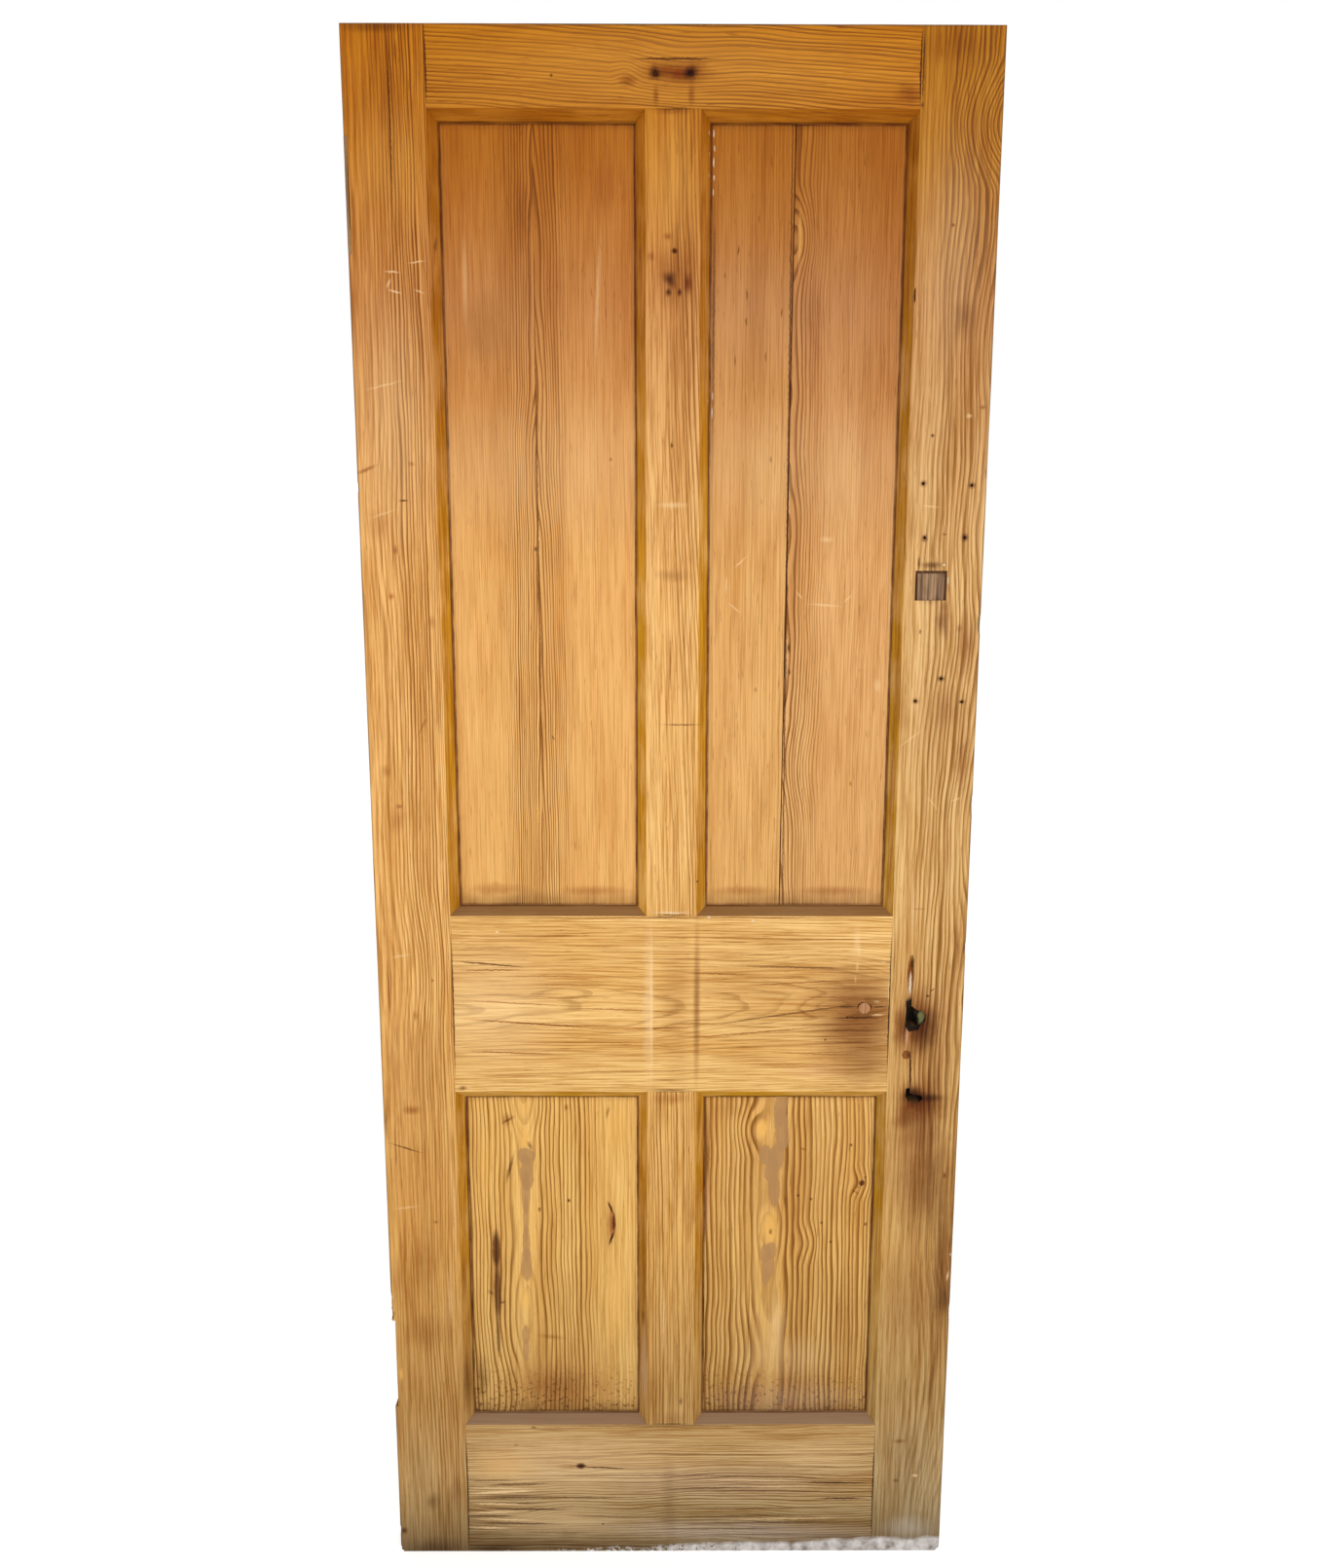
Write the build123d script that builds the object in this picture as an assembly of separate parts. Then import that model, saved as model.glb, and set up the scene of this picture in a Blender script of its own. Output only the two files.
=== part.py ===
# Four-panel pine door leaf, built up from solid boards.
# Two full-height stiles carry three rails on wedged through tenons, and the muntins
# stand between the rails on stub tenons. Every inner edge of the framing is worked with
# a plain chamfer that is mitred at each corner, and ploughed with the groove that holds
# the loose panels. The lock stile keeps its old spindle hole, keyhole and a plugged hole.
# Millimetres. X is the width, Y the thickness with the front at -Y, Z the height.
# The origin is the middle of the foot.
from build123d import *
from dataclasses import dataclass
import os

# Leaf
LEAF_WIDTH = 762.0
LEAF_HEIGHT = 1981.0
LEAF_THICKNESS = 38.1
ARRIS_RADIUS = 1.2

# Framing, each width measured over its chamfers
STILE_WIDTH = 108.0
TOP_RAIL_WIDTH = 101.6
LOCK_RAIL_WIDTH = 263.5
LOCK_RAIL_CENTRE = 810.5
BOTTOM_RAIL_WIDTH = 212.0
MUNTIN_WIDTH = 88.9

# Chamfer and panel groove
CHAMFER_RUN = 12.0
CHAMFER_LIP = 1.0
GROOVE_WIDTH = 12.7
GROOVE_DEPTH = 12.0

# Joints of the framing
TENON_THICKNESS = 12.7
TENON_WIDTH = 52.0
TENON_INSET = 8.0
TOP_HAUNCH_WIDTH = 28.0
BOTTOM_HAUNCH_WIDTH = 24.0
HAUNCH_DEPTH = 12.7
WEDGE_LENGTH = 60.0
WEDGE_BUTT = 6.0
WEDGE_TIP = 0.8
STUB_LENGTH = 25.0
STUB_INSET = 6.0
STUB_END_GAP = 0.8

# Panels
PANEL_FACE_PLAY = 0.15
PANEL_SIDE_PLAY = 1.5
PANEL_HEAD_PLAY = 1.5
LEFT_OUTER_BOARD = 118.5
RIGHT_INNER_BOARD = 104.8
RIGHT_BOARD_TAPER = 4.1
RIGHT_CRACK = 1.3

# Hinge side
HINGE_LENGTH = 130.0
HINGE_RECESS_DEPTH = 4.4
HINGE_BACK_MARGIN = 6.0
TOP_HINGE_DROP = 119.0
BOTTOM_HINGE_HEIGHT = 229.0
HINGE_HOLE_RADIUS = 2.0
HINGE_HOLE_DEPTH = 25.0
HINGE_HOLE_OFFSET = 6.0
HINGE_HOLE_PITCH = 64.0
HINGE_HOLE_STAGGER = 32.0
SLIP_END = 9.0
SLIP_HOLLOW = 1.4

# Lock side
LOCK_BACKSET = 64.0
SPINDLE_HEIGHT = 788.5
SPINDLE_RADIUS = 8.0
SPINDLE_POCKET_DEPTH = 16.0
BREAKOUT_DEPTH = 4.0
SPLINTER_DEPTH = 3.0
KEYHOLE_HEIGHT = 684.0
SQUARE_HOLE_WIDTH = 39.0
SQUARE_HOLE_HEIGHT = 36.0
SQUARE_HOLE_BACKSET = 63.0
SQUARE_HOLE_FOOT = 1332.0
SQUARE_PLUG_SIDE_GAP = 3.0
SQUARE_PLUG_HEAD_GAP = 3.2
SQUARE_PLUG_SET_BACK = 1.2
ROUND_PLUG_RADIUS = 7.6
ROUND_PLUG_EDGE_DISTANCE = 129.0
ROUND_PLUG_HEIGHT = 806.0

# Ragged outlines on the lock stile, each from its own centre: (across, up)
SPINDLE_POCKET = [(-10.0, 17.0), (-1.5, 18.0), (2.0, 6.0), (-2.0, -3.0), (-9.5, -1.0)]
BREAKOUT = [(-10.5, 20.0), (-3.0, 20.5), (4.0, 15.0), (11.0, 14.0), (16.0, 8.0),
            (15.0, -1.0), (9.0, -6.0), (6.0, -13.0), (-6.0, -15.0), (-11.0, -7.0)]
SPLINTER = [(-11.0, 19.0), (-11.2, 60.0), (-8.5, 88.0), (-4.0, 90.0), (-3.0, 64.0), (-3.2, 19.0)]
KEYHOLE = [(-7.0, 11.0), (-2.0, 12.0), (-1.0, 4.0), (14.0, 1.0), (16.0, -4.0),
           (11.0, -8.0), (-4.0, -7.0), (-7.5, 0.0)]

# Places worked out from the sizes above
HALF_WIDTH = LEAF_WIDTH / 2
FRONT = -LEAF_THICKNESS / 2
BACK = LEAF_THICKNESS / 2
STILE_TIP = HALF_WIDTH - STILE_WIDTH
SHOULDER = STILE_TIP + CHAMFER_RUN
MUNTIN_TIP = MUNTIN_WIDTH / 2
MUNTIN_FACE = MUNTIN_TIP - CHAMFER_RUN
RECESS = (LEAF_THICKNESS - GROOVE_WIDTH) / 2
CHAMFER_DROP = RECESS - CHAMFER_LIP
PANEL_THICKNESS = GROOVE_WIDTH - 2 * PANEL_FACE_PLAY
SIDES = {"left": -1, "right": 1}


@dataclass
class Rail:
    """One cross member: its edges over the chamfers, its flat face and its end joints."""

    name: str
    low: float
    high: float
    face_low: float
    face_high: float
    tongue: tuple
    tenons: list


@dataclass
class Opening:
    """One panel opening, measured between the tips of the chamfers."""

    left: float
    right: float
    low: float
    high: float


def make_top_rail():
    """Sizes of the top rail, whose one tenon has a haunch above it."""
    low = LEAF_HEIGHT - TOP_RAIL_WIDTH
    face_low = low + CHAMFER_RUN
    foot = face_low + TENON_INSET
    tenons = [(foot, LEAF_HEIGHT - TOP_HAUNCH_WIDTH)]
    return Rail("top_rail", low, LEAF_HEIGHT, face_low, LEAF_HEIGHT, (foot, LEAF_HEIGHT), tenons)


def make_lock_rail():
    """Sizes of the lock rail, which has a tenon near each edge and a haunch between."""
    low = LOCK_RAIL_CENTRE - LOCK_RAIL_WIDTH / 2
    high = LOCK_RAIL_CENTRE + LOCK_RAIL_WIDTH / 2
    face_low = low + CHAMFER_RUN
    face_high = high - CHAMFER_RUN
    foot = face_low + TENON_INSET
    head = face_high - TENON_INSET
    tenons = [(foot, foot + TENON_WIDTH), (head - TENON_WIDTH, head)]
    return Rail("lock_rail", low, high, face_low, face_high, (foot, head), tenons)


def make_bottom_rail():
    """Sizes of the bottom rail, whose two tenons have haunches between and below."""
    face_high = BOTTOM_RAIL_WIDTH - CHAMFER_RUN
    foot = BOTTOM_HAUNCH_WIDTH
    head = face_high - TENON_INSET
    tenons = [(foot, foot + TENON_WIDTH), (head - TENON_WIDTH, head)]
    return Rail("bottom_rail", 0.0, BOTTOM_RAIL_WIDTH, 0.0, face_high, (0.0, head), tenons)


TOP = make_top_rail()
LOCK = make_lock_rail()
BOTTOM = make_bottom_rail()
RAILS = [TOP, LOCK, BOTTOM]
OPENINGS = {
    "upper_left": Opening(-STILE_TIP, -MUNTIN_TIP, LOCK.high, TOP.low),
    "upper_right": Opening(MUNTIN_TIP, STILE_TIP, LOCK.high, TOP.low),
    "lower_left": Opening(-STILE_TIP, -MUNTIN_TIP, BOTTOM.high, LOCK.low),
    "lower_right": Opening(MUNTIN_TIP, STILE_TIP, BOTTOM.high, LOCK.low),
}


def prism(outline, front=FRONT, back=BACK):
    """Solid on an outline of (x, z) points, between two depths."""
    face = make_face(Polyline(*[(x, front, z) for x, z in outline], close=True))
    return extrude(face, amount=back - front, dir=(0, 1, 0))


def rectangle(left, right, low, high):
    """Outline of an upright rectangle."""
    return [(left, low), (right, low), (right, high), (left, high)]


def block(left, right, low, high, thickness):
    """Rectangular solid centred on the middle of the leaf's thickness."""
    return prism(rectangle(left, right, low, high), -thickness / 2, thickness / 2)


def mirrored(outline, side):
    """Outline drawn for the right-hand side, placed on the given side."""
    return [(side * x, z) for x, z in outline]


def moved(outline, x, z):
    """Outline drawn about its own centre, placed at a point."""
    return [(x + across, z + up) for across, up in outline]


def chamfer_cutter(opening, face_depth):
    """Tapered cutter that leaves the chamfer round one face of an opening."""
    inward = 1 if face_depth < 0 else -1
    profiles = []
    for spread, depth in ((CHAMFER_RUN, face_depth), (0.0, face_depth + inward * CHAMFER_DROP)):
        corners = rectangle(opening.left - spread, opening.right + spread,
                            opening.low - spread, opening.high + spread)
        profiles.append(make_face(Polyline(*[(x, depth, z) for x, z in corners], close=True)))
    return loft(profiles, ruled=True)


def opening_cutter(opening):
    """All that is cut for a panel: the hole, its groove and a chamfer on both faces."""
    hole = block(opening.left, opening.right, opening.low, opening.high, LEAF_THICKNESS)
    groove = block(opening.left - GROOVE_DEPTH, opening.right + GROOVE_DEPTH,
                   opening.low - GROOVE_DEPTH, opening.high + GROOVE_DEPTH, GROOVE_WIDTH)
    return hole + groove + chamfer_cutter(opening, FRONT) + chamfer_cutter(opening, BACK)


CUTTERS = {name: opening_cutter(opening) for name, opening in OPENINGS.items()}


def eased(solid, outer_sides=(), ends=()):
    """Rounds the arrises of the leaf's outer edges that lie on this board."""
    arrises = []
    for edge in solid.edges():
        middle = edge.position_at(0.5)
        on_face = abs(abs(middle.Y) - BACK) < 0.01
        on_side = any(abs(middle.X - side * HALF_WIDTH) < 0.01 for side in outer_sides)
        on_end = any(abs(middle.Z - end) < 0.01 for end in ends)
        if on_face and (on_side or on_end):
            arrises.append(edge)
    return fillet(arrises, ARRIS_RADIUS)


def wedge_outline(side, tenon_face, direction):
    """Slender wedge that lies on a tenon's face and ends flush with the stile's edge."""
    inner = HALF_WIDTH - WEDGE_LENGTH
    return mirrored([(HALF_WIDTH, tenon_face),
                     (HALF_WIDTH, tenon_face + direction * WEDGE_BUTT),
                     (inner, tenon_face + direction * WEDGE_TIP),
                     (inner, tenon_face)], side)


def wedges(rail, side):
    """The wedges of one end of a rail, above and below each tenon."""
    made = []
    for low, high in rail.tenons:
        for tenon_face, direction in ((low, -1), (high, 1)):
            outline = wedge_outline(side, tenon_face, direction)
            made.append(prism(outline, -TENON_THICKNESS / 2, TENON_THICKNESS / 2))
    return made


def tongue(rail, side):
    """Haunch and through tenons on one end of a rail."""
    low, high = rail.tongue
    reach = sorted((side * SHOULDER, side * (SHOULDER + HAUNCH_DEPTH)))
    solid = block(*reach, low, high, TENON_THICKNESS)
    for tenon_low, tenon_high in rail.tenons:
        ends = sorted((side * SHOULDER, side * HALF_WIDTH))
        solid += block(*ends, tenon_low, tenon_high, TENON_THICKNESS)
    return solid


def stile(side):
    """One stile: edge cut back to each rail's shoulder, chamfered, grooved and mortised."""
    inner = [(SHOULDER, 0.0), (SHOULDER, BOTTOM.face_high), (STILE_TIP, BOTTOM.high),
             (STILE_TIP, LOCK.low), (SHOULDER, LOCK.face_low), (SHOULDER, LOCK.face_high),
             (STILE_TIP, LOCK.high), (STILE_TIP, TOP.low), (SHOULDER, TOP.face_low),
             (SHOULDER, LEAF_HEIGHT)]
    outline = [(HALF_WIDTH, 0.0)] + inner + [(HALF_WIDTH, LEAF_HEIGHT)]
    solid = eased(prism(mirrored(outline, side)), outer_sides=(side,), ends=(0.0, LEAF_HEIGHT))
    hand = "left" if side < 0 else "right"
    solid -= CUTTERS["upper_" + hand]
    solid -= CUTTERS["lower_" + hand]
    for rail in RAILS:
        solid -= tongue(rail, side)
        for wedge in wedges(rail, side):
            solid -= wedge
    return solid


def muntin_mortise(face, direction):
    """Blind mortise in a rail's edge for a muntin's stub tenon."""
    half = MUNTIN_FACE - STUB_INSET
    low, high = sorted((face, face + direction * (STUB_LENGTH + STUB_END_GAP)))
    return block(-half, half, low, high, TENON_THICKNESS)


def edge_points(tip, face):
    """A rail's chamfered edge, from the right shoulder to the left one, notched at the muntin."""
    right = [(SHOULDER, face), (STILE_TIP, tip), (MUNTIN_TIP, tip), (MUNTIN_FACE, face)]
    return right + [(-x, z) for x, z in reversed(right)]


def rail_board(rail):
    """One rail with its mitred chamfers, tenons and the mortises for the muntins."""
    lower = [(SHOULDER, rail.low), (-SHOULDER, rail.low)]
    upper = [(SHOULDER, rail.high), (-SHOULDER, rail.high)]
    if rail.face_low > rail.low:
        lower = edge_points(rail.low, rail.face_low)
    if rail.face_high < rail.high:
        upper = edge_points(rail.high, rail.face_high)
    solid = prism(lower + upper[::-1])
    outer_ends = [end for end in (rail.low, rail.high) if end in (0.0, LEAF_HEIGHT)]
    if outer_ends:
        solid = eased(solid, ends=outer_ends)
    if rail.face_low > rail.low:
        solid -= muntin_mortise(rail.face_low, 1)
    if rail.face_high < rail.high:
        solid -= muntin_mortise(rail.face_high, -1)
    for name, opening in OPENINGS.items():
        if rail.high in (opening.low, opening.high) or rail.low in (opening.low, opening.high):
            solid -= CUTTERS[name]
    for side in SIDES.values():
        solid += tongue(rail, side)
    return solid


def muntin(lower_rail, upper_rail, names):
    """Upright between two rails, chamfered and grooved on both edges, with stub tenons."""
    right = [(MUNTIN_FACE, lower_rail.face_high), (MUNTIN_TIP, lower_rail.high),
             (MUNTIN_TIP, upper_rail.low), (MUNTIN_FACE, upper_rail.face_low)]
    solid = prism(right + [(-x, z) for x, z in reversed(right)])
    for name in names:
        solid -= CUTTERS[name]
    half = MUNTIN_FACE - STUB_INSET
    for face, direction in ((lower_rail.face_high, -1), (upper_rail.face_low, 1)):
        low, high = sorted((face, face + direction * STUB_LENGTH))
        solid += block(-half, half, low, high, TENON_THICKNESS)
    return solid


def panel_edges(opening):
    """Edges of a panel that stands on the foot of its groove and has play elsewhere."""
    reach = GROOVE_DEPTH - PANEL_SIDE_PLAY
    return (opening.left - reach, opening.right + reach,
            opening.low - GROOVE_DEPTH, opening.high + GROOVE_DEPTH - PANEL_HEAD_PLAY)


def panel_prism(outline):
    """Board of the panels' thickness, in the middle of the groove."""
    return prism(outline, -PANEL_THICKNESS / 2, PANEL_THICKNESS / 2)


def two_boards(opening, joint_foot, gap=0.0, taper=0.0):
    """Panel of two boards, closed up or apart, whose joint leans by the taper of the boards."""
    left, right, low, high = panel_edges(opening)
    joint_head = joint_foot + taper
    first = [(left, low), (joint_foot - gap / 2, low), (joint_head - gap / 2, high), (left, high)]
    second = [(joint_foot + gap / 2, low), (right, low), (right, high),
              (joint_head + gap / 2, high)]
    return panel_prism(first), panel_prism(second)


def hinge_recess(low):
    """Seat for one hinge leaf, open at the front, with a margin left at the back."""
    outline = rectangle(-HALF_WIDTH, -HALF_WIDTH + HINGE_RECESS_DEPTH, low, low + HINGE_LENGTH)
    return prism(outline, FRONT, BACK - HINGE_BACK_MARGIN)


def hinge_holes(low):
    """Four old screw holes in a zigzag across the seat."""
    middle = low + HINGE_LENGTH / 2
    across = -HINGE_BACK_MARGIN / 2
    holes = []
    for row, offset in ((1, HINGE_HOLE_OFFSET), (-1, -HINGE_HOLE_OFFSET)):
        for step in (-1, 1):
            height = middle + row * HINGE_HOLE_STAGGER / 2 + step * HINGE_HOLE_PITCH / 2
            start = -HALF_WIDTH + HINGE_RECESS_DEPTH
            bore = Cylinder(HINGE_HOLE_RADIUS, HINGE_HOLE_DEPTH, rotation=(0, 90, 0))
            holes.append(Pos(start + HINGE_HOLE_DEPTH / 2, across + offset, height) * bore)
    return holes


def hinge_stile():
    """Left stile, with the filled top hinge recess and the open bottom one."""
    solid = stile(SIDES["left"])
    solid -= hinge_recess(LEAF_HEIGHT - TOP_HINGE_DROP - HINGE_LENGTH)
    solid -= hinge_recess(BOTTOM_HINGE_HEIGHT)
    for hole in hinge_holes(BOTTOM_HINGE_HEIGHT):
        solid -= hole
    return solid


def hinge_recess_slip():
    """Thin slip let into the top recess; its back is hollow and bears at both ends."""
    low = LEAF_HEIGHT - TOP_HINGE_DROP - HINGE_LENGTH
    high = low + HINGE_LENGTH
    middle = (low + high) / 2
    outer = -HALF_WIDTH
    seat = outer + HINGE_RECESS_DEPTH
    straight = Polyline((seat, FRONT, low + SLIP_END), (seat, FRONT, low), (outer, FRONT, low),
                        (outer, FRONT, high), (seat, FRONT, high), (seat, FRONT, high - SLIP_END))
    hollow = ThreePointArc((seat, FRONT, high - SLIP_END), (seat - SLIP_HOLLOW, FRONT, middle),
                           (seat, FRONT, low + SLIP_END))
    face = make_face(straight + hollow)
    return extrude(face, amount=BACK - HINGE_BACK_MARGIN - FRONT, dir=(0, 1, 0))


def square_hole():
    """Hole through the lock stile that the square plug fills."""
    centre = HALF_WIDTH - SQUARE_HOLE_BACKSET
    return prism(rectangle(centre - SQUARE_HOLE_WIDTH / 2, centre + SQUARE_HOLE_WIDTH / 2,
                           SQUARE_HOLE_FOOT, SQUARE_HOLE_FOOT + SQUARE_HOLE_HEIGHT))


def square_plug():
    """Block that stands on the foot of the square hole, a little back from both faces."""
    centre = HALF_WIDTH - SQUARE_HOLE_BACKSET
    half = SQUARE_HOLE_WIDTH / 2 - SQUARE_PLUG_SIDE_GAP
    head = SQUARE_HOLE_FOOT + SQUARE_HOLE_HEIGHT - SQUARE_PLUG_HEAD_GAP
    return prism(rectangle(centre - half, centre + half, SQUARE_HOLE_FOOT, head),
                 FRONT + SQUARE_PLUG_SET_BACK, BACK - SQUARE_PLUG_SET_BACK)


def lock_stile():
    """Right stile, with the spindle hole, its broken front, the keyhole and the plugged hole."""
    solid = stile(SIDES["right"])
    across = HALF_WIDTH - LOCK_BACKSET
    bore = Cylinder(SPINDLE_RADIUS, LEAF_THICKNESS, rotation=(90, 0, 0))
    solid -= Pos(across, 0, SPINDLE_HEIGHT) * bore
    for outline, depth in ((SPINDLE_POCKET, SPINDLE_POCKET_DEPTH), (BREAKOUT, BREAKOUT_DEPTH),
                           (SPLINTER, SPLINTER_DEPTH)):
        solid -= prism(moved(outline, across, SPINDLE_HEIGHT), FRONT, FRONT + depth)
    solid -= prism(moved(KEYHOLE, across, KEYHOLE_HEIGHT))
    return solid - square_hole()


def round_plug():
    """Turned plug through the lock rail, near its right-hand shoulder."""
    centre = HALF_WIDTH - ROUND_PLUG_EDGE_DISTANCE
    plug = Cylinder(ROUND_PLUG_RADIUS, LEAF_THICKNESS, rotation=(90, 0, 0))
    return Pos(centre, 0, ROUND_PLUG_HEIGHT) * plug


def build():
    """All the pieces of the leaf, by name."""
    pieces = {
        "hinge_stile": hinge_stile(),
        "lock_stile": lock_stile(),
        "top_rail": rail_board(TOP),
        "lock_rail": rail_board(LOCK) - round_plug(),
        "bottom_rail": rail_board(BOTTOM),
        "upper_muntin": muntin(LOCK, TOP, ("upper_left", "upper_right")),
        "lower_muntin": muntin(BOTTOM, LOCK, ("lower_left", "lower_right")),
        "hinge_recess_slip": hinge_recess_slip(),
        "square_plug": square_plug(),
        "round_plug": round_plug(),
    }
    left, right = OPENINGS["upper_left"], OPENINGS["upper_right"]
    left_joint = panel_edges(left)[0] + LEFT_OUTER_BOARD
    right_joint = panel_edges(right)[0] + RIGHT_INNER_BOARD + RIGHT_CRACK / 2
    outer, inner = two_boards(left, left_joint)
    pieces["upper_left_outer_board"] = outer
    pieces["upper_left_inner_board"] = inner
    inner, outer = two_boards(right, right_joint, RIGHT_CRACK, RIGHT_BOARD_TAPER)
    pieces["upper_right_inner_board"] = inner
    pieces["upper_right_outer_board"] = outer
    for name in ("lower_left", "lower_right"):
        pieces[name + "_panel"] = panel_prism(rectangle(*panel_edges(OPENINGS[name])))
    for rail in RAILS:
        for hand, side in SIDES.items():
            for number, wedge in enumerate(wedges(rail, side), start=1):
                pieces[f"{rail.name}_{hand}_wedge_{number}"] = wedge
    return pieces


os.makedirs("parts", exist_ok=True)
for node, solid in build().items():
    export_step(solid, f"parts/{node}.step")
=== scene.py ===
"""Old stripped pine door leaf: its boards, repairs and wear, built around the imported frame.

Places on the leaf are given as they are read on it with a rule: x in millimetres from the
middle, positive towards the lock edge, and drop in millimetres below the head.
"""

import logging
import math
import random
from collections.abc import Iterable, Iterator
from contextlib import contextmanager
from dataclasses import dataclass
from enum import Enum

import bpy
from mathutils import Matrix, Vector


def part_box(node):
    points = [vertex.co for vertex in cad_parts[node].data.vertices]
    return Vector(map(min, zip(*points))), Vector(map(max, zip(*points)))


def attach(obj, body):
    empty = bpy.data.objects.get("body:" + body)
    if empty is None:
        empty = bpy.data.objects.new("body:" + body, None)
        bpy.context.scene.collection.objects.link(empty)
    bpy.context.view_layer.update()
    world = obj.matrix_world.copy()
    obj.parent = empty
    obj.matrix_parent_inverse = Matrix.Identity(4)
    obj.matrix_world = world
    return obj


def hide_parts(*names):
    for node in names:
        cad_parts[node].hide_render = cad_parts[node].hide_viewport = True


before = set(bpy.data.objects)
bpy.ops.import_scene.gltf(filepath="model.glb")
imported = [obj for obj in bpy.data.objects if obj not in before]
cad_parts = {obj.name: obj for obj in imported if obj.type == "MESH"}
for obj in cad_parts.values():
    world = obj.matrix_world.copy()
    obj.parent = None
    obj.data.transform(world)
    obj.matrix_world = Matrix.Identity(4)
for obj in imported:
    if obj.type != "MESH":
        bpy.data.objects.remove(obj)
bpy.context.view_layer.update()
LOG = logging.getLogger("door_leaf")

MM = 0.001
LEAF_HEIGHT = 1981.0
HALF_WIDTH = 381.0
FRONT = -19.05
PANEL_FRONT = -6.2
STILE_TIP = 273.0
MUNTIN_TIP = 44.45
ARRIS_ANGLE = math.radians(38)
SMOOTH_ANGLE = math.radians(32)
CRACK_STEP = 9.0
CRACK_SWAY = 0.35
DENT_LUMPINESS = 0.16

Piece = bpy.types.Object
Node = bpy.types.Node
Value = Node | bpy.types.NodeSocket | float


def linear(tone: str) -> tuple[float, float, float, float]:
    """Turns an sRGB hex value into the linear colour that a shader takes.

    Args:
        tone: Colour such as "#c08040".

    Returns:
        Linear red, green, blue and an alpha of 1.
    """
    parts = [int(tone[i:i + 2], 16) / 255 for i in (1, 3, 5)]
    curve = [p / 12.92 if p <= 0.04045 else ((p + 0.055) / 1.055) ** 2.4 for p in parts]
    return (curve[0], curve[1], curve[2], 1.0)


def height(drop: float) -> float:
    """Height above the floor in millimetres of a place that far below the head."""
    return LEAF_HEIGHT - drop


class NodeTree:
    """The node tree of one material or world, emptied and ready to fill."""

    def __init__(self, owner: bpy.types.ID) -> None:
        """Takes over the owner's tree.

        Args:
            owner: Material or world.
        """
        owner.use_nodes = True
        self.tree = owner.node_tree
        self.tree.nodes.clear()

    def add(self, kind: str, inputs: dict | None = None, **settings: object) -> Node:
        """Adds a node with its settings and links.

        Args:
            kind: Type of node, without the ShaderNode prefix.
            inputs: Sockets by name or number, with a value, a socket, or a node whose
                first output in use is meant.
            settings: Attributes of the node. stops are a ramp's places and values.

        Returns:
            The new node.
        """
        node = self.tree.nodes.new("ShaderNode" + kind)
        stops = settings.pop("stops", None)
        for name, value in settings.items():
            setattr(node, name, value)
        if stops:
            ramp = node.color_ramp.elements
            while len(ramp) < len(stops):
                ramp.new(1.0)
            for element, (place, value) in zip(ramp, stops):
                element.position = place
                element.color = linear(value) if isinstance(value, str) else (value,) * 3 + (1.0,)
        for key, value in (inputs or {}).items():
            if isinstance(key, int):
                socket = node.inputs[key]
            else:
                socket = next(s for s in node.inputs if s.name == key and s.enabled)
            if isinstance(value, Node):
                value = next(s for s in value.outputs if s.enabled)
            if isinstance(value, bpy.types.NodeSocket):
                self.tree.links.new(value, socket)
            else:
                socket.default_value = value
        return node


class Grain(Enum):
    """Which way the fibres of a board run."""

    UPRIGHT = "up the leaf"
    ACROSS = "across the leaf"


class Edge(Enum):
    """How a mark ends: where its fade starts, as a share of its size."""

    SOFT = 0.05
    FIRM = 0.45
    CRISP = 0.8


class Stain(Enum):
    """What darkened, scraped or coated the wood, and the painted shade and light on the walls of its lock
    holes: its tone, and whether it soaked in.
    """

    # Near-black: black dirt in small holes, chips and joint lines, and painted shade on the walls of the lock
    # holes.
    SOOT = ("#0d0603", False)
    TAR = ("#5e3208", True)
    OLD_POLISH = ("#a06a28", True)
    VARNISH = ("#bf8c38", True)
    BROWN = ("#b88c62", True)
    REDDISH = ("#c07c5c", True)
    PURPLE = ("#a58778", True)
    GREY_DIRT = ("#a39582", True)
    # Painted light: the lit wall inside the spindle hole.
    OLIVE = ("#7d7a50", False)
    GOLDEN = ("#eeb65e", False)
    BARE = ("#f6d3a0", False)
    CHALK = ("#eadbc4", False)
    PAINT = ("#d9d0c6", False)
    PINK = ("#d29a74", False)
    FLAME = ("#ad8253", False)

    def soft(self, *places: tuple[float, ...]) -> "Marks":
        """Marks of this stain that fade from their middle."""
        return Marks(self, Edge.SOFT, places)

    def firm(self, *places: tuple[float, ...]) -> "Marks":
        """Marks of this stain with a narrow fade at their rim."""
        return Marks(self, Edge.FIRM, places)

    def crisp(self, *places: tuple[float, ...]) -> "Marks":
        """Marks of this stain with a clear rim."""
        return Marks(self, Edge.CRISP, places)


@dataclass(frozen=True)
class Marks:
    """Stains, scratches and spots of one kind on a board's front: ellipses with ragged rims.

    Each place is (x, drop, half width, half height, strength), and may end with a turn in
    degrees. Those that are inside cover only the walls of a hole, and not the face around it,
    where they paint shade or a lit patch.
    """

    stain: Stain
    edge: Edge
    places: tuple[tuple[float, ...], ...]
    inside: bool = False


@dataclass(frozen=True)
class Bend:
    """A place where the rings crowd towards the heart line, or away from it."""

    x: float
    drop: float
    reach_x: float
    reach_z: float
    pull: float


@dataclass(frozen=True)
class Figure:
    """How the annual rings run through one board.

    heart is where the middle of the log lay, as (x, y) for an upright board and
    (drop, y) for a rail, at the place anchor along the board. lean is its drift per metre
    along the board, contrast is that of the dark latewood at the two ends of span.
    flame is the share of it left where the rings lie flat to the face, and calm the drops
    between which it fades to a share.
    """

    grain: Grain
    heart: tuple[float, float]
    anchor: float
    lean: tuple[float, float]
    ring: float
    span: tuple[float, float]
    contrast: tuple[float, float]
    waver: float = 3.0
    waver_length: float = 260.0
    latewood: float = 0.42
    bends: tuple[Bend, ...] = ()
    seed: float = 1.0
    flame: float = 1.0
    calm: tuple[float, float, float] | None = None


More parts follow.
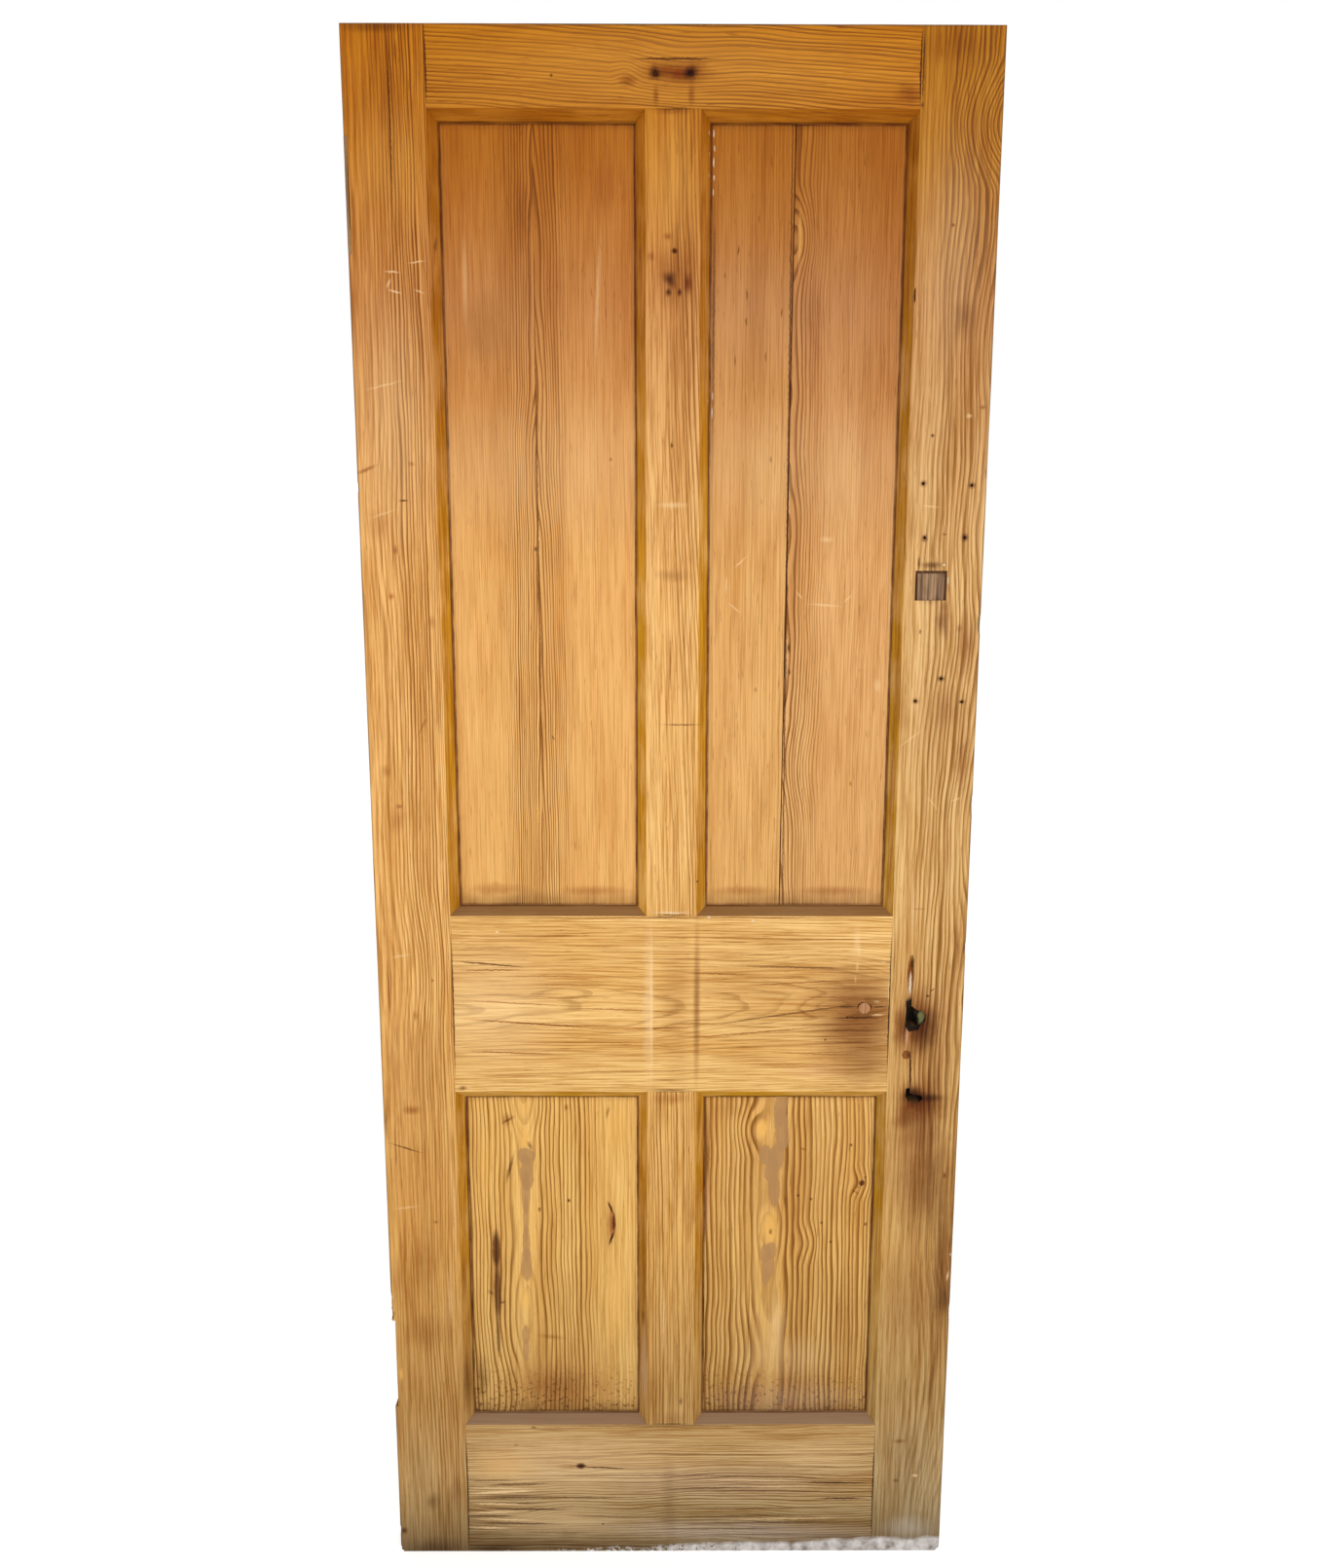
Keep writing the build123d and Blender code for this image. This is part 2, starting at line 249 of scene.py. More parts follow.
@dataclass(frozen=True)
class Opening:
    """Opening that shows a panel, between the tips of its chamfers, in millimetres."""

    left: float
    right: float
    head_drop: float
    foot_drop: float


# Early wood by height, from a dark greyish foot up to a deep orange head.
TONE_BY_HEIGHT = (
    (0.000, "#7c694d"), (0.030, "#ac946a"), (0.065, "#ccad7b"), (0.120, "#c6a167"),
    (0.240, "#e4b770"), (0.480, "#f4c580"), (0.690, "#f6c582"), (0.850, "#d3985c"),
    (0.930, "#cb8a34"), (1.000, "#c27c14"),
)
# Multiplied over the early wood, so each is a tint and not a colour of its own.
LATE_TINT = "#a68e65"
FIBRE_TINT = "#cfb78f"
PORE_TINT = "#a07c4c"
CLOUD_TINT = "#e2cba6"
CHAMFER_TINT = "#d4bf50"
# Laid over the wood.
BLEACHED_TONE = "#ffda92"
# Dark seam brown: dirt and painted occlusion shade at the panels' rims and the chamfers' feet, and the dirt
# specks.
SEAM_TONE = "#4c210a"
EDGE_TONE = "#5b4631"
END_TONE = "#6d4a2a"
# Whitish paint, from its dirtiest to its cleanest.
PAINT_TONES = ((0.3, "#857c74"), (0.42, "#a9a29d"), (0.58, "#c8c2be"), (0.75, "#dedad7"))

# Noise stays between these values nearly everywhere.
NOISE_LOW, NOISE_HIGH = 0.3, 0.7
# Offset between the patterns of two boards, so that no two are alike.
BOARD_SHIFT = 13.7
# Marks wider than this many millimetres get the coarse ragged rim, the others the frayed one.
COARSE_MARK = 9.0
# How deep in millimetres a mark reaches from the face, and into a hole.
MARK_DEPTH, HOLE_DEPTH = 14.0, 60.0
# Where the wall of a hole begins behind the face, and the feet of the chamfers, both measured in
# metres from the middle of the leaf's thickness.
HOLE_WALL = (18.7 * MM, 16.5 * MM)
CHAMFER_FOOT = (9.6 * MM, 7.6 * MM)


@dataclass(frozen=True)
class PineFinish:
    """Stripped pine under thin wax: soft satin sheen, latewood standing a little proud.

    Paint and varnish were taken off long ago, so the grain is open, the arrises are dark
    with dirt and the chamfers hold amber traces of the old finish.
    """

    name: str
    figure: Figure
    tint: str = "#ffffff"
    face: float = FRONT
    opening: Opening | None = None
    marks: tuple[Marks, ...] = ()
    foot_paint: bool = False
    bleached: float = 0.0
    fibre: float = 0.85
    specked: float = 0.0
    dust: str = "#7b5639"
    roughness: float = 0.6

    def material(self) -> bpy.types.Material:
        """The finish as a Blender material."""
        return PineSurface(self).finished()


class PineSurface(NodeTree):
    """Builds the nodes of one pine finish, working from the wood outwards to the wear."""

    def __init__(self, finish: PineFinish) -> None:
        """Starts the material and its coordinates.

        Args:
            finish: What the board is to look like.
        """
        self.finish = finish
        self.upright = finish.figure.grain is Grain.UPRIGHT
        self.material = bpy.data.materials.new(finish.name)
        super().__init__(self.material)
        place = self.add("TexCoord")
        self.point = place.outputs["Object"]
        axes = self.add("SeparateXYZ", {0: self.point})
        self.x, self.y, self.z = axes.outputs
        facing = self.add("SeparateXYZ", {0: place.outputs["Normal"]})
        self.normal_x, self.normal_y, self.normal_z = facing.outputs
        self.deep = self.add("Math", {0: self.y}, operation="ABSOLUTE")
        # A chamfer lies between the faces, which point to the front, and the edges of the board.
        level = self.add("Math", {0: self.normal_y}, operation="ABSOLUTE")
        self.sloped = self.product(self.fade(level, 0.97, 0.85), self.fade(level, 0.35, 0.55))
        self.ragged = self.shaken(22.0, 7.0)
        self.frayed = self.shaken(5.0, 1.2)

    def shaken(self, size: float, amount: float) -> Node:
        """Coordinates shaken by noise, which give the marks their ragged rims.

        Args:
            size: Size of the noise in millimetres.
            amount: How far it moves a point, in millimetres.

        Returns:
            The shaken coordinates.
        """
        noise = self.add("TexNoise", {"Vector": self.point, "Scale": 1000 / size, "Detail": 3.0})
        centred = self.add("VectorMath", {0: noise.outputs["Color"], 1: (0.5, 0.5, 0.5)},
                           operation="SUBTRACT")
        return self.add("VectorMath", {0: centred, 1: (2 * amount * MM,) * 3, 2: self.point},
                        operation="MULTIPLY_ADD")

    def streaks(self, across: float, along: float, shift: float = 0.0, detail: float = 1.0,
                roughness: float = 0.5) -> Node:
        """Noise drawn out along the grain.

        Args:
            across: Size of a streak across the grain, in millimetres.
            along: Size of a streak along it.
            shift: Offset that gives each use its own pattern.
            detail: How many finer layers it has.
            roughness: How strong those are.

        Returns:
            The pattern, from 0 to 1.
        """
        scale = [1000 / across] * 3
        scale[2 if self.upright else 0] = 1000 / along
        offset = BOARD_SHIFT * self.finish.figure.seed + shift
        drawn = self.add("Mapping", {"Vector": self.point, "Scale": scale,
                                     "Location": (offset, offset, offset)})
        return self.add("TexNoise", {"Vector": drawn, "Scale": 1.0, "Detail": detail,
                                     "Roughness": roughness})

    def away_from(self, x: float) -> Node:
        """Distance in metres from the upright line at x."""
        off = self.add("Math", {0: self.x, 1: x * MM}, operation="SUBTRACT")
        return self.add("Math", {0: off}, operation="ABSOLUTE")

    def fade(self, value: Value, start: float, end: float, low: float = 0.0,
             high: float = 1.0) -> Node:
        """Smooth step of a value from start to end, as low to high."""
        return self.add("MapRange", {"Value": value, "From Min": start, "From Max": end,
                                     "To Min": low, "To Max": high},
                        interpolation_type="SMOOTHSTEP")

    def uneven(self, noise: Value, low: float, high: float) -> Node:
        """Noise spread over the range from low to high."""
        return self.add("MapRange", {"Value": noise, "From Min": NOISE_LOW, "From Max": NOISE_HIGH,
                                     "To Min": low, "To Max": high})

    def product(self, *factors: Value) -> Value:
        """Product of several values.

        Args:
            factors: Two or more values.

        Returns:
            Their product.
        """
        total = factors[0]
        for factor in factors[1:]:
            total = self.add("Math", {0: total, 1: factor}, operation="MULTIPLY")
        return total

    def tinted(self, colour: Value, amount: Value, tint: str) -> Node:
        """Multiplies a share of a tint, an sRGB hex value, over a colour."""
        return self.add("Mix", {"Factor": amount, "A": colour, "B": linear(tint)},
                        data_type="RGBA", blend_type="MULTIPLY")

    def laid_over(self, colour: Value, amount: Value, tone: str) -> Node:
        """Covers a share of a colour with a tone, an sRGB hex value."""
        return self.add("Mix", {"Factor": amount, "A": colour, "B": linear(tone)}, data_type="RGBA")

    def laid_in_bands(self, colour: Value, share: Value, tone: str,
               bands: Iterable[tuple[Value, float, float, float]]) -> Node:
        """Lays dirt, or dirt with painted shade, over a colour in bands.

        Args:
            colour: Colour so far.
            share: Share of the dirt or shade that is there, which varies over the board.
            tone: sRGB hex value of the dirt or shade.
            bands: For each, the value that places it, where it starts, where it is full,
                and its strength.

        Returns:
            The darkened colour.
        """
        for value, start, end, strength in bands:
            cover = self.product(self.fade(value, start, end, 0.0, strength), share)
            colour = self.laid_over(colour, cover, tone)
        return colour

    def rings(self) -> Value:
        """Measures the way from the heart of the log.

        Returns:
            Distance from the heart line, in rings, with its waver and its bends.
        """
        figure = self.finish.figure
        drift_across, drift_deep = (math.atan(lean / 1000) for lean in figure.lean)
        across, deep = figure.heart
        ring = figure.ring * MM
        endless = 1e6
        if self.upright:
            axis = {"Location": (across * MM, deep * MM, height(figure.anchor) * MM),
                    "Rotation": (drift_deep, -drift_across, 0.0), "Scale": (ring, ring, endless)}
        else:
            axis = {"Location": (figure.anchor * MM, deep * MM, height(across) * MM),
                    "Rotation": (0.0, drift_across, drift_deep), "Scale": (endless, ring, ring)}
        from_heart = self.add("Mapping", {"Vector": self.point, **axis}, vector_type="TEXTURE")
        total = self.add("VectorMath", {0: from_heart}, operation="LENGTH").outputs["Value"]
        for across_size, along_size, amount in ((70.0, figure.waver_length, figure.waver),
                                                (14.0, 75.0, 0.16 * figure.waver + 0.35)):
            swing = 2 * amount / figure.ring
            wave = self.add("MapRange", {"Value": self.streaks(across_size, along_size, detail=1.5),
                                         "To Min": -swing, "To Max": swing}, clamp=False)
            total = self.add("Math", {0: total, 1: wave}, operation="ADD")
        for bend in figure.bends:
            local = self.add("Mapping", {
                "Vector": self.point, "Location": (bend.x * MM, 0.0, height(bend.drop) * MM),
                "Scale": (bend.reach_x * MM, 1.0, bend.reach_z * MM)}, vector_type="TEXTURE")
            away = self.add("VectorMath", {0: local}, operation="LENGTH")
            push = self.fade(away.outputs["Value"], 0.0, 1.0, bend.pull / figure.ring, 0.0)
            total = self.add("Math", {0: total, 1: push}, operation="ADD")
        return total

    def latewood(self) -> Value:
        """Draws the dark part of each ring.

        Returns:
            Share of dark latewood at each point, from 0 to 1.
        """
        figure = self.finish.figure
        rings = self.rings()
        pace = self.add("TexNoise", {"W": rings, "Scale": 0.33, "Detail": 1.0}, noise_dimensions="1D")
        count = self.add("Math", {0: pace, 1: 1.6, 2: rings}, operation="MULTIPLY_ADD")
        phase = self.add("Math", {0: count}, operation="FRACT")
        number = self.add("Math", {0: count}, operation="FLOOR")
        # The latewood thickens slowly and ends sharply, as one year's growth does.
        start = 1.0 - figure.latewood
        profile = self.add("ValToRGB", {0: phase}, stops=(
            (0.0, 0.0), (max(0.02, start - 0.16), 0.03), (start, 0.45), (0.82, 1.0), (0.95, 1.0), (1.0, 0.0)))
        chance = self.add("TexWhiteNoise", {"W": number}, noise_dimensions="1D")
        strength = self.add("MapRange", {"Value": chance.outputs["Value"],
                                         "To Min": 0.66, "To Max": 1.25})
        low, high = figure.span if self.upright else map(height, figure.span)
        contrast = self.fade(self.x if self.upright else self.z, low * MM, high * MM, *figure.contrast)
        fading = self.uneven(self.streaks(60.0, 300.0, 5.0), 0.75, 1.2)
        total = profile.outputs["Color"]
        for factor in (strength, contrast, fading):
            total = self.add("Math", {0: total, 1: factor}, operation="MULTIPLY", use_clamp=True)
        if figure.flame < 1.0:
            flat = self.fade(self.away_from(figure.heart[0]), 6 * MM, 24 * MM, figure.flame, 1.0)
            total = self.product(total, flat)
        if figure.calm:
            head, foot, share = figure.calm
            total = self.product(total, self.fade(self.z, height(head) * MM, height(foot) * MM, 1.0, share))
        if not self.finish.opening:
            total = self.product(total, self.fade(self.sloped, 0.0, 1.0, 1.0, 0.25))
        return total

    def marked(self, colour: Value) -> Value:
        """Adds the board's own stains, scratches and spots, and the painted shade and light on the walls of
        its holes.

        Args:
            colour: Colour so far.

        Returns:
            The marked colour.
        """
        in_hole = self.fade(self.deep, *HOLE_WALL)
        for group in self.finish.marks:
            tone, soaked = group.stain.value
            for x, drop, half_width, half_height, strength, *turn in group.places:
                source = self.ragged if min(half_width, half_height) > COARSE_MARK else self.frayed
                centre = Vector((x, self.finish.face, height(drop))) * MM
                size = Vector((half_width, HOLE_DEPTH if group.inside else MARK_DEPTH, half_height)) * MM
                if turn:
                    local = self.add("Mapping", {
                        "Vector": source, "Location": centre, "Rotation": (0.0, math.radians(turn[0]), 0.0),
                        "Scale": size}, vector_type="TEXTURE")
                else:
                    local = self.add("VectorMath", {
                        0: source, 1: [1 / s for s in size], 2: [-c / s for c, s in zip(centre, size)]},
                        operation="MULTIPLY_ADD")
                away = self.add("VectorMath", {0: local}, operation="LENGTH")
                cover = self.fade(away.outputs["Value"], group.edge.value, 1.0, strength, 0.0)
                # Inside marks paint a hole's walls with shade, or with a lit patch.
                if group.inside:
                    cover = self.product(cover, in_hole)
                colour = (self.tinted if soaked else self.laid_over)(colour, cover, tone)
        return colour

    def panel_dirt_and_shade(self, colour: Value) -> Value:
        """Dirt and painted occlusion shade where a panel meets its chamfers, thickest on its foot.

        Args:
            colour: Colour so far.

        Returns:
            The darkened colour.
        """
        opening = self.finish.opening
        half = (opening.right - opening.left) / 2 * MM
        side = self.away_from((opening.left + opening.right) / 2)
        cloud = self.add("TexNoise", {"Vector": self.point, "Scale": 1000 / 30.0, "Detail": 3.0})
        foot, head = height(opening.foot_drop) * MM, height(opening.head_drop) * MM
        # Dark seam bands: dirt, and painted shade where the chamfers and grooves shadow the panel's rim.
        colour = self.laid_in_bands(colour, self.uneven(cloud, 0.4, 1.0), SEAM_TONE, (
            (side, half - 2.2 * MM, half - 1.2 * MM, 1.0), (side, half - 8 * MM, half, 0.2),
            (self.z, foot + 24 * MM, foot + 3 * MM, 0.5), (self.z, foot + 4 * MM, foot, 0.8),
            (self.z, head - 3 * MM, head - 0.5 * MM, 0.9), (self.z, head - 10 * MM, head, 0.3)))
        if self.finish.specked:
            specks = self.add("TexNoise", {"Vector": self.point, "Scale": 1000 / 4.5, "Detail": 2.0})
            low_down = self.fade(self.z, foot + 90 * MM, foot + 10 * MM, 0.0, self.finish.specked)
            colour = self.laid_over(colour, self.product(self.fade(specks, 0.58, 0.66), low_down), SEAM_TONE)
        return colour

    def framing_dirt_and_shade(self, colour: Value) -> Value:
        """Amber chamfers, dust on those that face up, and a dark line at their feet, part dirt and part
        painted shade of the groove.

        Args:
            colour: Colour so far.

        Returns:
            The darkened colour.
        """
        cloud = self.streaks(16.0, 60.0, 7.0, detail=4.0)
        amber = self.product(self.sloped, self.fade(cloud, 0.3, 0.62, 0.55, 1.0),
                             self.fade(self.z, 0.18, 0.55, 0.35, 1.0))
        colour = self.tinted(colour, amber, CHAMFER_TINT)
        dusty = self.product(self.sloped, self.fade(self.normal_z, 0.35, 0.6, 0.0, 0.85))
        colour = self.laid_over(colour, dusty, self.finish.dust)
        # Dark line at the chamfers' feet: dirt, and painted shade where the chamfer meets the panel's groove.
        seam = self.product(self.fade(self.deep, *CHAMFER_FOOT), self.fade(cloud, 0.25, 0.6, 0.5, 1.0))
        return self.laid_over(colour, self.product(seam, self.sloped), SEAM_TONE)

    def edge_dirt(self, colour: Value) -> Value:
        """Handled and weathered outer arrises and edges, and dark end grain.

        Args:
            colour: Colour so far.

        Returns:
            The dirtied colour.
        """
        side = self.add("Math", {0: self.x}, operation="ABSOLUTE")
        patch = self.add("TexNoise", {"Vector": self.point, "Scale": 1000 / 55.0, "Detail": 4.0})
        colour = self.laid_in_bands(colour, self.uneven(patch, 0.35, 1.0), EDGE_TONE, (
            (side, (HALF_WIDTH - 3.2) * MM, (HALF_WIDTH - 0.2) * MM, 0.7),
            (self.z, (LEAF_HEIGHT - 4.0) * MM, (LEAF_HEIGHT - 0.3) * MM, 0.6)))
        along = self.normal_z if self.upright else self.normal_x
        end = self.add("Math", {0: along}, operation="ABSOLUTE")
        return self.laid_over(colour, self.fade(end, 0.85, 0.97, 0.0, 0.6), END_TONE)

    def painted_foot(self, colour: Value) -> Node:
        """Speckled remains of whitish paint along the foot, deeper towards the lock edge.

        Args:
            colour: Colour so far.

        Returns:
            The painted colour.
        """
        line = self.add("MapRange", {"Value": self.x, "From Min": -0.20, "From Max": 0.30,
                                     "To Min": 0.002, "To Max": 0.024})
        wobble = self.add("TexNoise", {"Vector": self.point, "Scale": 1000 / 34.0, "Detail": 5.0})
        rise = self.add("MapRange", {"Value": wobble, "To Min": -0.009, "To Max": 0.008})
        top = self.add("Math", {0: line, 1: rise}, operation="ADD")
        below = self.add("Math", {0: top, 1: self.z}, operation="SUBTRACT")
        solid = self.add("MapRange", {"Value": below, "From Min": -0.001, "From Max": 0.005})
        speckle = self.add("TexNoise", {"Vector": self.point, "Scale": 1000 / 5.0, "Detail": 4.0})
        bare = self.add("MapRange", {"Value": self.x, "From Min": -0.15, "From Max": 0.2,
                                     "To Min": 0.55, "To Max": 0.2})
        excess = self.add("Math", {0: speckle, 1: bare}, operation="SUBTRACT")
        flakes = self.add("MapRange", {"Value": excess, "From Min": 0.0, "From Max": 0.05})
        shade = self.add("TexNoise", {"Vector": self.point, "Scale": 1000 / 12.0, "Detail": 5.0})
        paint = self.add("ValToRGB", {0: shade}, stops=PAINT_TONES)
        return self.add("Mix", {"Factor": self.product(solid, flakes), "A": colour,
                                "B": paint.outputs["Color"]}, data_type="RGBA")

    def finished(self) -> bpy.types.Material:
        """Joins the layers into the shader.

        Returns:
            The material.
        """
        late = self.latewood()
        share_up = self.add("Math", {0: self.z, 1: LEAF_HEIGHT * MM}, operation="DIVIDE")
        tone = self.add("ValToRGB", {0: share_up}, stops=TONE_BY_HEIGHT)
        colour = self.tinted(tone.outputs["Color"], 1.0, self.finish.tint)
        colour = self.laid_over(colour, self.finish.bleached, BLEACHED_TONE)
        colour = self.tinted(colour, late, LATE_TINT)
        fibre = self.streaks(2.4, 90.0, 2.0, detail=4.0, roughness=0.65)
        flecks = self.streaks(1.4, 26.0, 9.0)
        checks = self.streaks(2.6, 150.0, 21.0, detail=2.0)
        cloud = self.streaks(38.0, 330.0, 4.0, detail=3.0)
        for pattern, start, end, strength, tint in (
                (fibre, 0.40, 0.66, self.finish.fibre, FIBRE_TINT),
                (flecks, 0.68, 0.76, 0.5, PORE_TINT),
                (checks, 0.68, 0.74, 0.8 * self.finish.fibre, PORE_TINT),
                (cloud, 0.35, 0.75, 0.6, CLOUD_TINT)):
            colour = self.tinted(colour, self.fade(pattern, start, end, 0.0, strength), tint)
        colour = (self.panel_dirt_and_shade if self.finish.opening else self.framing_dirt_and_shade)(colour)
        colour = self.edge_dirt(self.marked(colour))
        if self.finish.foot_paint:
            colour = self.painted_foot(colour)
        relief = 0.0
        for pattern, rise in ((late, 0.12), (fibre, 0.16), (flecks, 0.05)):
            relief = self.add("Math", {0: pattern, 1: rise, 2: relief}, operation="MULTIPLY_ADD")
        bump = self.add("Bump", {"Height": relief, "Distance": MM, "Strength": 0.8})
        sheen = self.uneven(cloud, self.finish.roughness - 0.06, self.finish.roughness + 0.1)
        rough = self.add("Math", {0: late, 1: -0.1, 2: sheen}, operation="MULTIPLY_ADD")
        shader = self.add("BsdfPrincipled", {"Base Color": colour, "Roughness": rough, "Normal": bump,
                                             "IOR": 1.5, "Specular IOR Level": 0.1})
        self.add("OutputMaterial", {"Surface": shader})
        return self.material


@dataclass(frozen=True)
class RepairFinish:
    """Bare softwood let in as a repair and never finished: dull, dry and dirty in its pores.

    Dust and filler that packed a gap or a crack look the same, on a coarser scale.
    """

    name: str
    pale: str
    dark: str
    spacing: float
    roughness: float = 0.78

    def material(self) -> bpy.types.Material:
        """Builds the nodes of the finish.

        Returns:
            The material.
        """
        material = bpy.data.materials.new(self.name)
        nodes = NodeTree(material)
        point = nodes.add("TexCoord").outputs["Object"]
        fine = 1000 / self.spacing
        drawn = nodes.add("Mapping", {"Vector": point, "Scale": (fine, fine, 14.0)})
        streak = nodes.add("TexNoise", {"Vector": drawn, "Scale": 1.0, "Detail": 3.0, "Distortion": 0.3})
        colour = nodes.add("ValToRGB", {0: streak}, stops=((0.36, self.dark), (0.62, self.pale)))
        dirt = nodes.add("TexNoise", {"Vector": point, "Scale": 1000 / 14.0, "Detail": 4.0})
        cover = nodes.add("MapRange", {"Value": dirt, "From Min": 0.5, "From Max": 0.75, "To Max": 0.5})
        shade = nodes.add("Mix", {"Factor": cover, "A": colour.outputs["Color"], "B": linear(self.dark)},
                          data_type="RGBA")
        bump = nodes.add("Bump", {"Height": streak, "Distance": 0.35 * MM, "Strength": 0.9})
        rough = nodes.add("MapRange", {"Value": dirt, "From Min": NOISE_LOW, "From Max": NOISE_HIGH,
                                       "To Min": self.roughness - 0.08, "To Max": self.roughness + 0.08})
        shader = nodes.add("BsdfPrincipled", {"Base Color": shade, "Roughness": rough, "Normal": bump,
                                              "IOR": 1.5})
        nodes.add("OutputMaterial", {"Surface": shader})
        return material


def deselect() -> None:
    """Leaves object mode with nothing selected."""
    if bpy.context.object and bpy.context.object.mode != "OBJECT":
        bpy.ops.object.mode_set(mode="OBJECT")
    bpy.ops.object.select_all(action="DESELECT")


def only(piece: Piece) -> None:
    """Makes a piece the only selected object and the active one."""
    deselect()
    piece.select_set(True)
    bpy.context.view_layer.objects.active = piece


@contextmanager
def edited(piece: Piece) -> Iterator[None]:
    """Holds a piece in edit mode, all of it selected at first.

    Args:
        piece: Mesh object.

    Yields:
        Nothing.
    """
    only(piece)
    bpy.ops.object.mode_set(mode="EDIT")
    bpy.ops.mesh.select_all(action="SELECT")
    yield
    bpy.ops.object.mode_set(mode="OBJECT")


def applied(piece: Piece, kind: str, **settings: object) -> None:
    """Adds a modifier to a piece and applies it.

    Args:
        piece: Mesh object.
        kind: Type of modifier.
        settings: Attributes of the modifier.
    """
    only(piece)
    modifier = piece.modifiers.new(kind.lower(), kind)
    for name, value in settings.items():
        setattr(modifier, name, value)
    bpy.ops.object.modifier_apply(modifier=modifier.name)


def copy_of(node: str, name: str) -> Piece:
    """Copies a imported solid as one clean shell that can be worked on.

    Args:
        node: Name of the solid.
        name: Name of the new piece.

    Returns:
        The new object, with its place in its mesh.
    """
    piece = bpy.data.objects.new(name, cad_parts[node].data.copy())
    bpy.context.scene.collection.objects.link(piece)
    piece.data.materials.clear()
    only(piece)
    if piece.data.has_custom_normals:
        bpy.ops.mesh.customdata_custom_splitnormals_clear()
    with edited(piece):
        bpy.ops.mesh.remove_doubles(threshold=0.01 * MM)
        bpy.ops.mesh.dissolve_limited(angle_limit=math.radians(0.5))
        bpy.ops.mesh.normals_make_consistent(inside=False)
    return piece


def new_cube() -> Piece:
    """Adds a cube 1 m wide round the origin.

    Returns:
        The cube, selected and active.
    """
    deselect()
    bpy.ops.mesh.primitive_cube_add(size=1.0)
    return bpy.context.object


def evenly(low: float, high: float, count: int) -> list[float]:
    """The places that part a length into that many equal steps."""
    return [low + (high - low) * step / count for step in range(1, count)]


def sliced(piece: Piece, *cuts: tuple[int, Iterable[float]]) -> None:
    """Cuts a piece's faces right across, so that the new edges can be moved.

    Args:
        piece: Mesh object.
        cuts: For each, the axis along which it cuts, as 0, 1 or 2, and the places on it.
    """
    with edited(piece):
        for axis, places in cuts:
            normal = [0.0, 0.0, 0.0]
            normal[axis] = 1.0
            for place in places:
                bpy.ops.mesh.select_all(action="SELECT")
                bpy.ops.mesh.bisect(plane_co=[place * share for share in normal], plane_no=normal)


def faced_out(piece: Piece) -> None:
    """Turns all faces of a closed piece outwards."""
    with edited(piece):
        bpy.ops.mesh.normals_make_consistent(inside=False)


def eased(piece: Piece, width: float) -> None:
    """Rounds the arrises of a piece by so many millimetres."""
    applied(piece, "BEVEL", width=width * MM, segments=2, limit_method="ANGLE", angle_limit=ARRIS_ANGLE,
            use_clamp_overlap=True)


def cut_away(piece: Piece, tool: Piece) -> None:
    """Cuts a tool's shape out of a piece, and removes the tool."""
    applied(piece, "BOOLEAN", operation="DIFFERENCE", solver="EXACT", object=tool)
    bpy.data.objects.remove(tool)


def roughened(piece: Piece, name: str, lump: float, strength: float, level: float) -> None:
    """Moves a piece's surface in and out by a cloudy pattern.

    Args:
        piece: Mesh object.
        name: Name of the pattern.
        lump: Size of its lumps in metres.
        strength: How far it moves the surface, in millimetres.
        level: Value of the pattern that moves nothing.
    """
    clouds = bpy.data.textures.new(name, "CLOUDS")
    clouds.noise_scale = lump
    applied(piece, "DISPLACE", texture=clouds, texture_coords="LOCAL", strength=strength * MM,
            mid_level=level)


def dressed(piece: Piece, finish: PineFinish | RepairFinish,
            node: str | None = None) -> Piece:
    """Gives a shaped piece its finish and its place in the frame.

    Args:
        piece: Mesh object.
        finish: What it is to look like.
        node: Solid that it replaces, if there is one.

    Returns:
        The finished piece.
    """
    only(piece)
    bpy.ops.object.shade_smooth_by_angle(angle=SMOOTH_ANGLE)
    piece.data.materials.append(finish.material())
    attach(piece, "root")
    if node:
        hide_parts(node)
    LOG.info("%s: %d faces", piece.name, len(piece.data.polygons))
    return piece


@dataclass(frozen=True)
class Bore:
    """A small old screw or nail hole in the front, tapering to its point."""

    x: float
    drop: float
    radius: float
    depth: float

    def tool(self) -> Piece:
        """Makes the cone that cuts the hole.

        Returns:
            The cone, with its middle in the face.
        """
        deselect()
        bpy.ops.mesh.primitive_cone_add(
            vertices=14, radius1=self.radius * MM, radius2=0.35 * self.radius * MM,
            depth=2 * self.depth * MM, location=(self.x * MM, FRONT * MM, height(self.drop) * MM),
            rotation=(-math.pi / 2, 0.0, 0.0))
        return bpy.context.object


@dataclass(frozen=True)
class Crack:
    """A drying crack that follows the grain: a thin wedge with an uneven line."""

    x: float
    drop: float
    length: float
    width: float
    depth: float
    grain: Grain = Grain.UPRIGHT
    slant: float = 0.0
    face: float = FRONT
    seed: int = 1

    def tool(self) -> Piece:
        """Makes the wavy blade, widest in its middle, that cuts the crack.

        Returns:
            The blade, with its middle in the face.
        """
        blade = new_cube()
        steps = max(4, int(self.length / CRACK_STEP))
        sliced(blade, (2, evenly(-0.5, 0.5, steps)))
        chance = random.Random(self.seed)
        sway = [chance.uniform(-CRACK_SWAY, CRACK_SWAY) for _ in range(steps + 1)]
        for vertex in blade.data.vertices:
            place = vertex.co.z + 0.5
            open_by = self.width * (1.0 - (2 * place - 1) ** 2 * 0.85)
            taper = 1.0 if vertex.co.y < 0 else 0.25
            aside = vertex.co.x * open_by * taper + sway[round(place * steps)] * min(1.0, self.width)
            along = vertex.co.z * self.length
            lean = along * math.tan(math.radians(self.slant))
            deep = self.face + vertex.co.y * 2 * self.depth
            if self.grain is Grain.UPRIGHT:
                vertex.co = (self.x + aside + lean, deep, height(self.drop) + along)
            else:
                vertex.co = (self.x + along, deep, height(self.drop) - aside - lean)
            vertex.co *= MM
        faced_out(blade)
        return blade


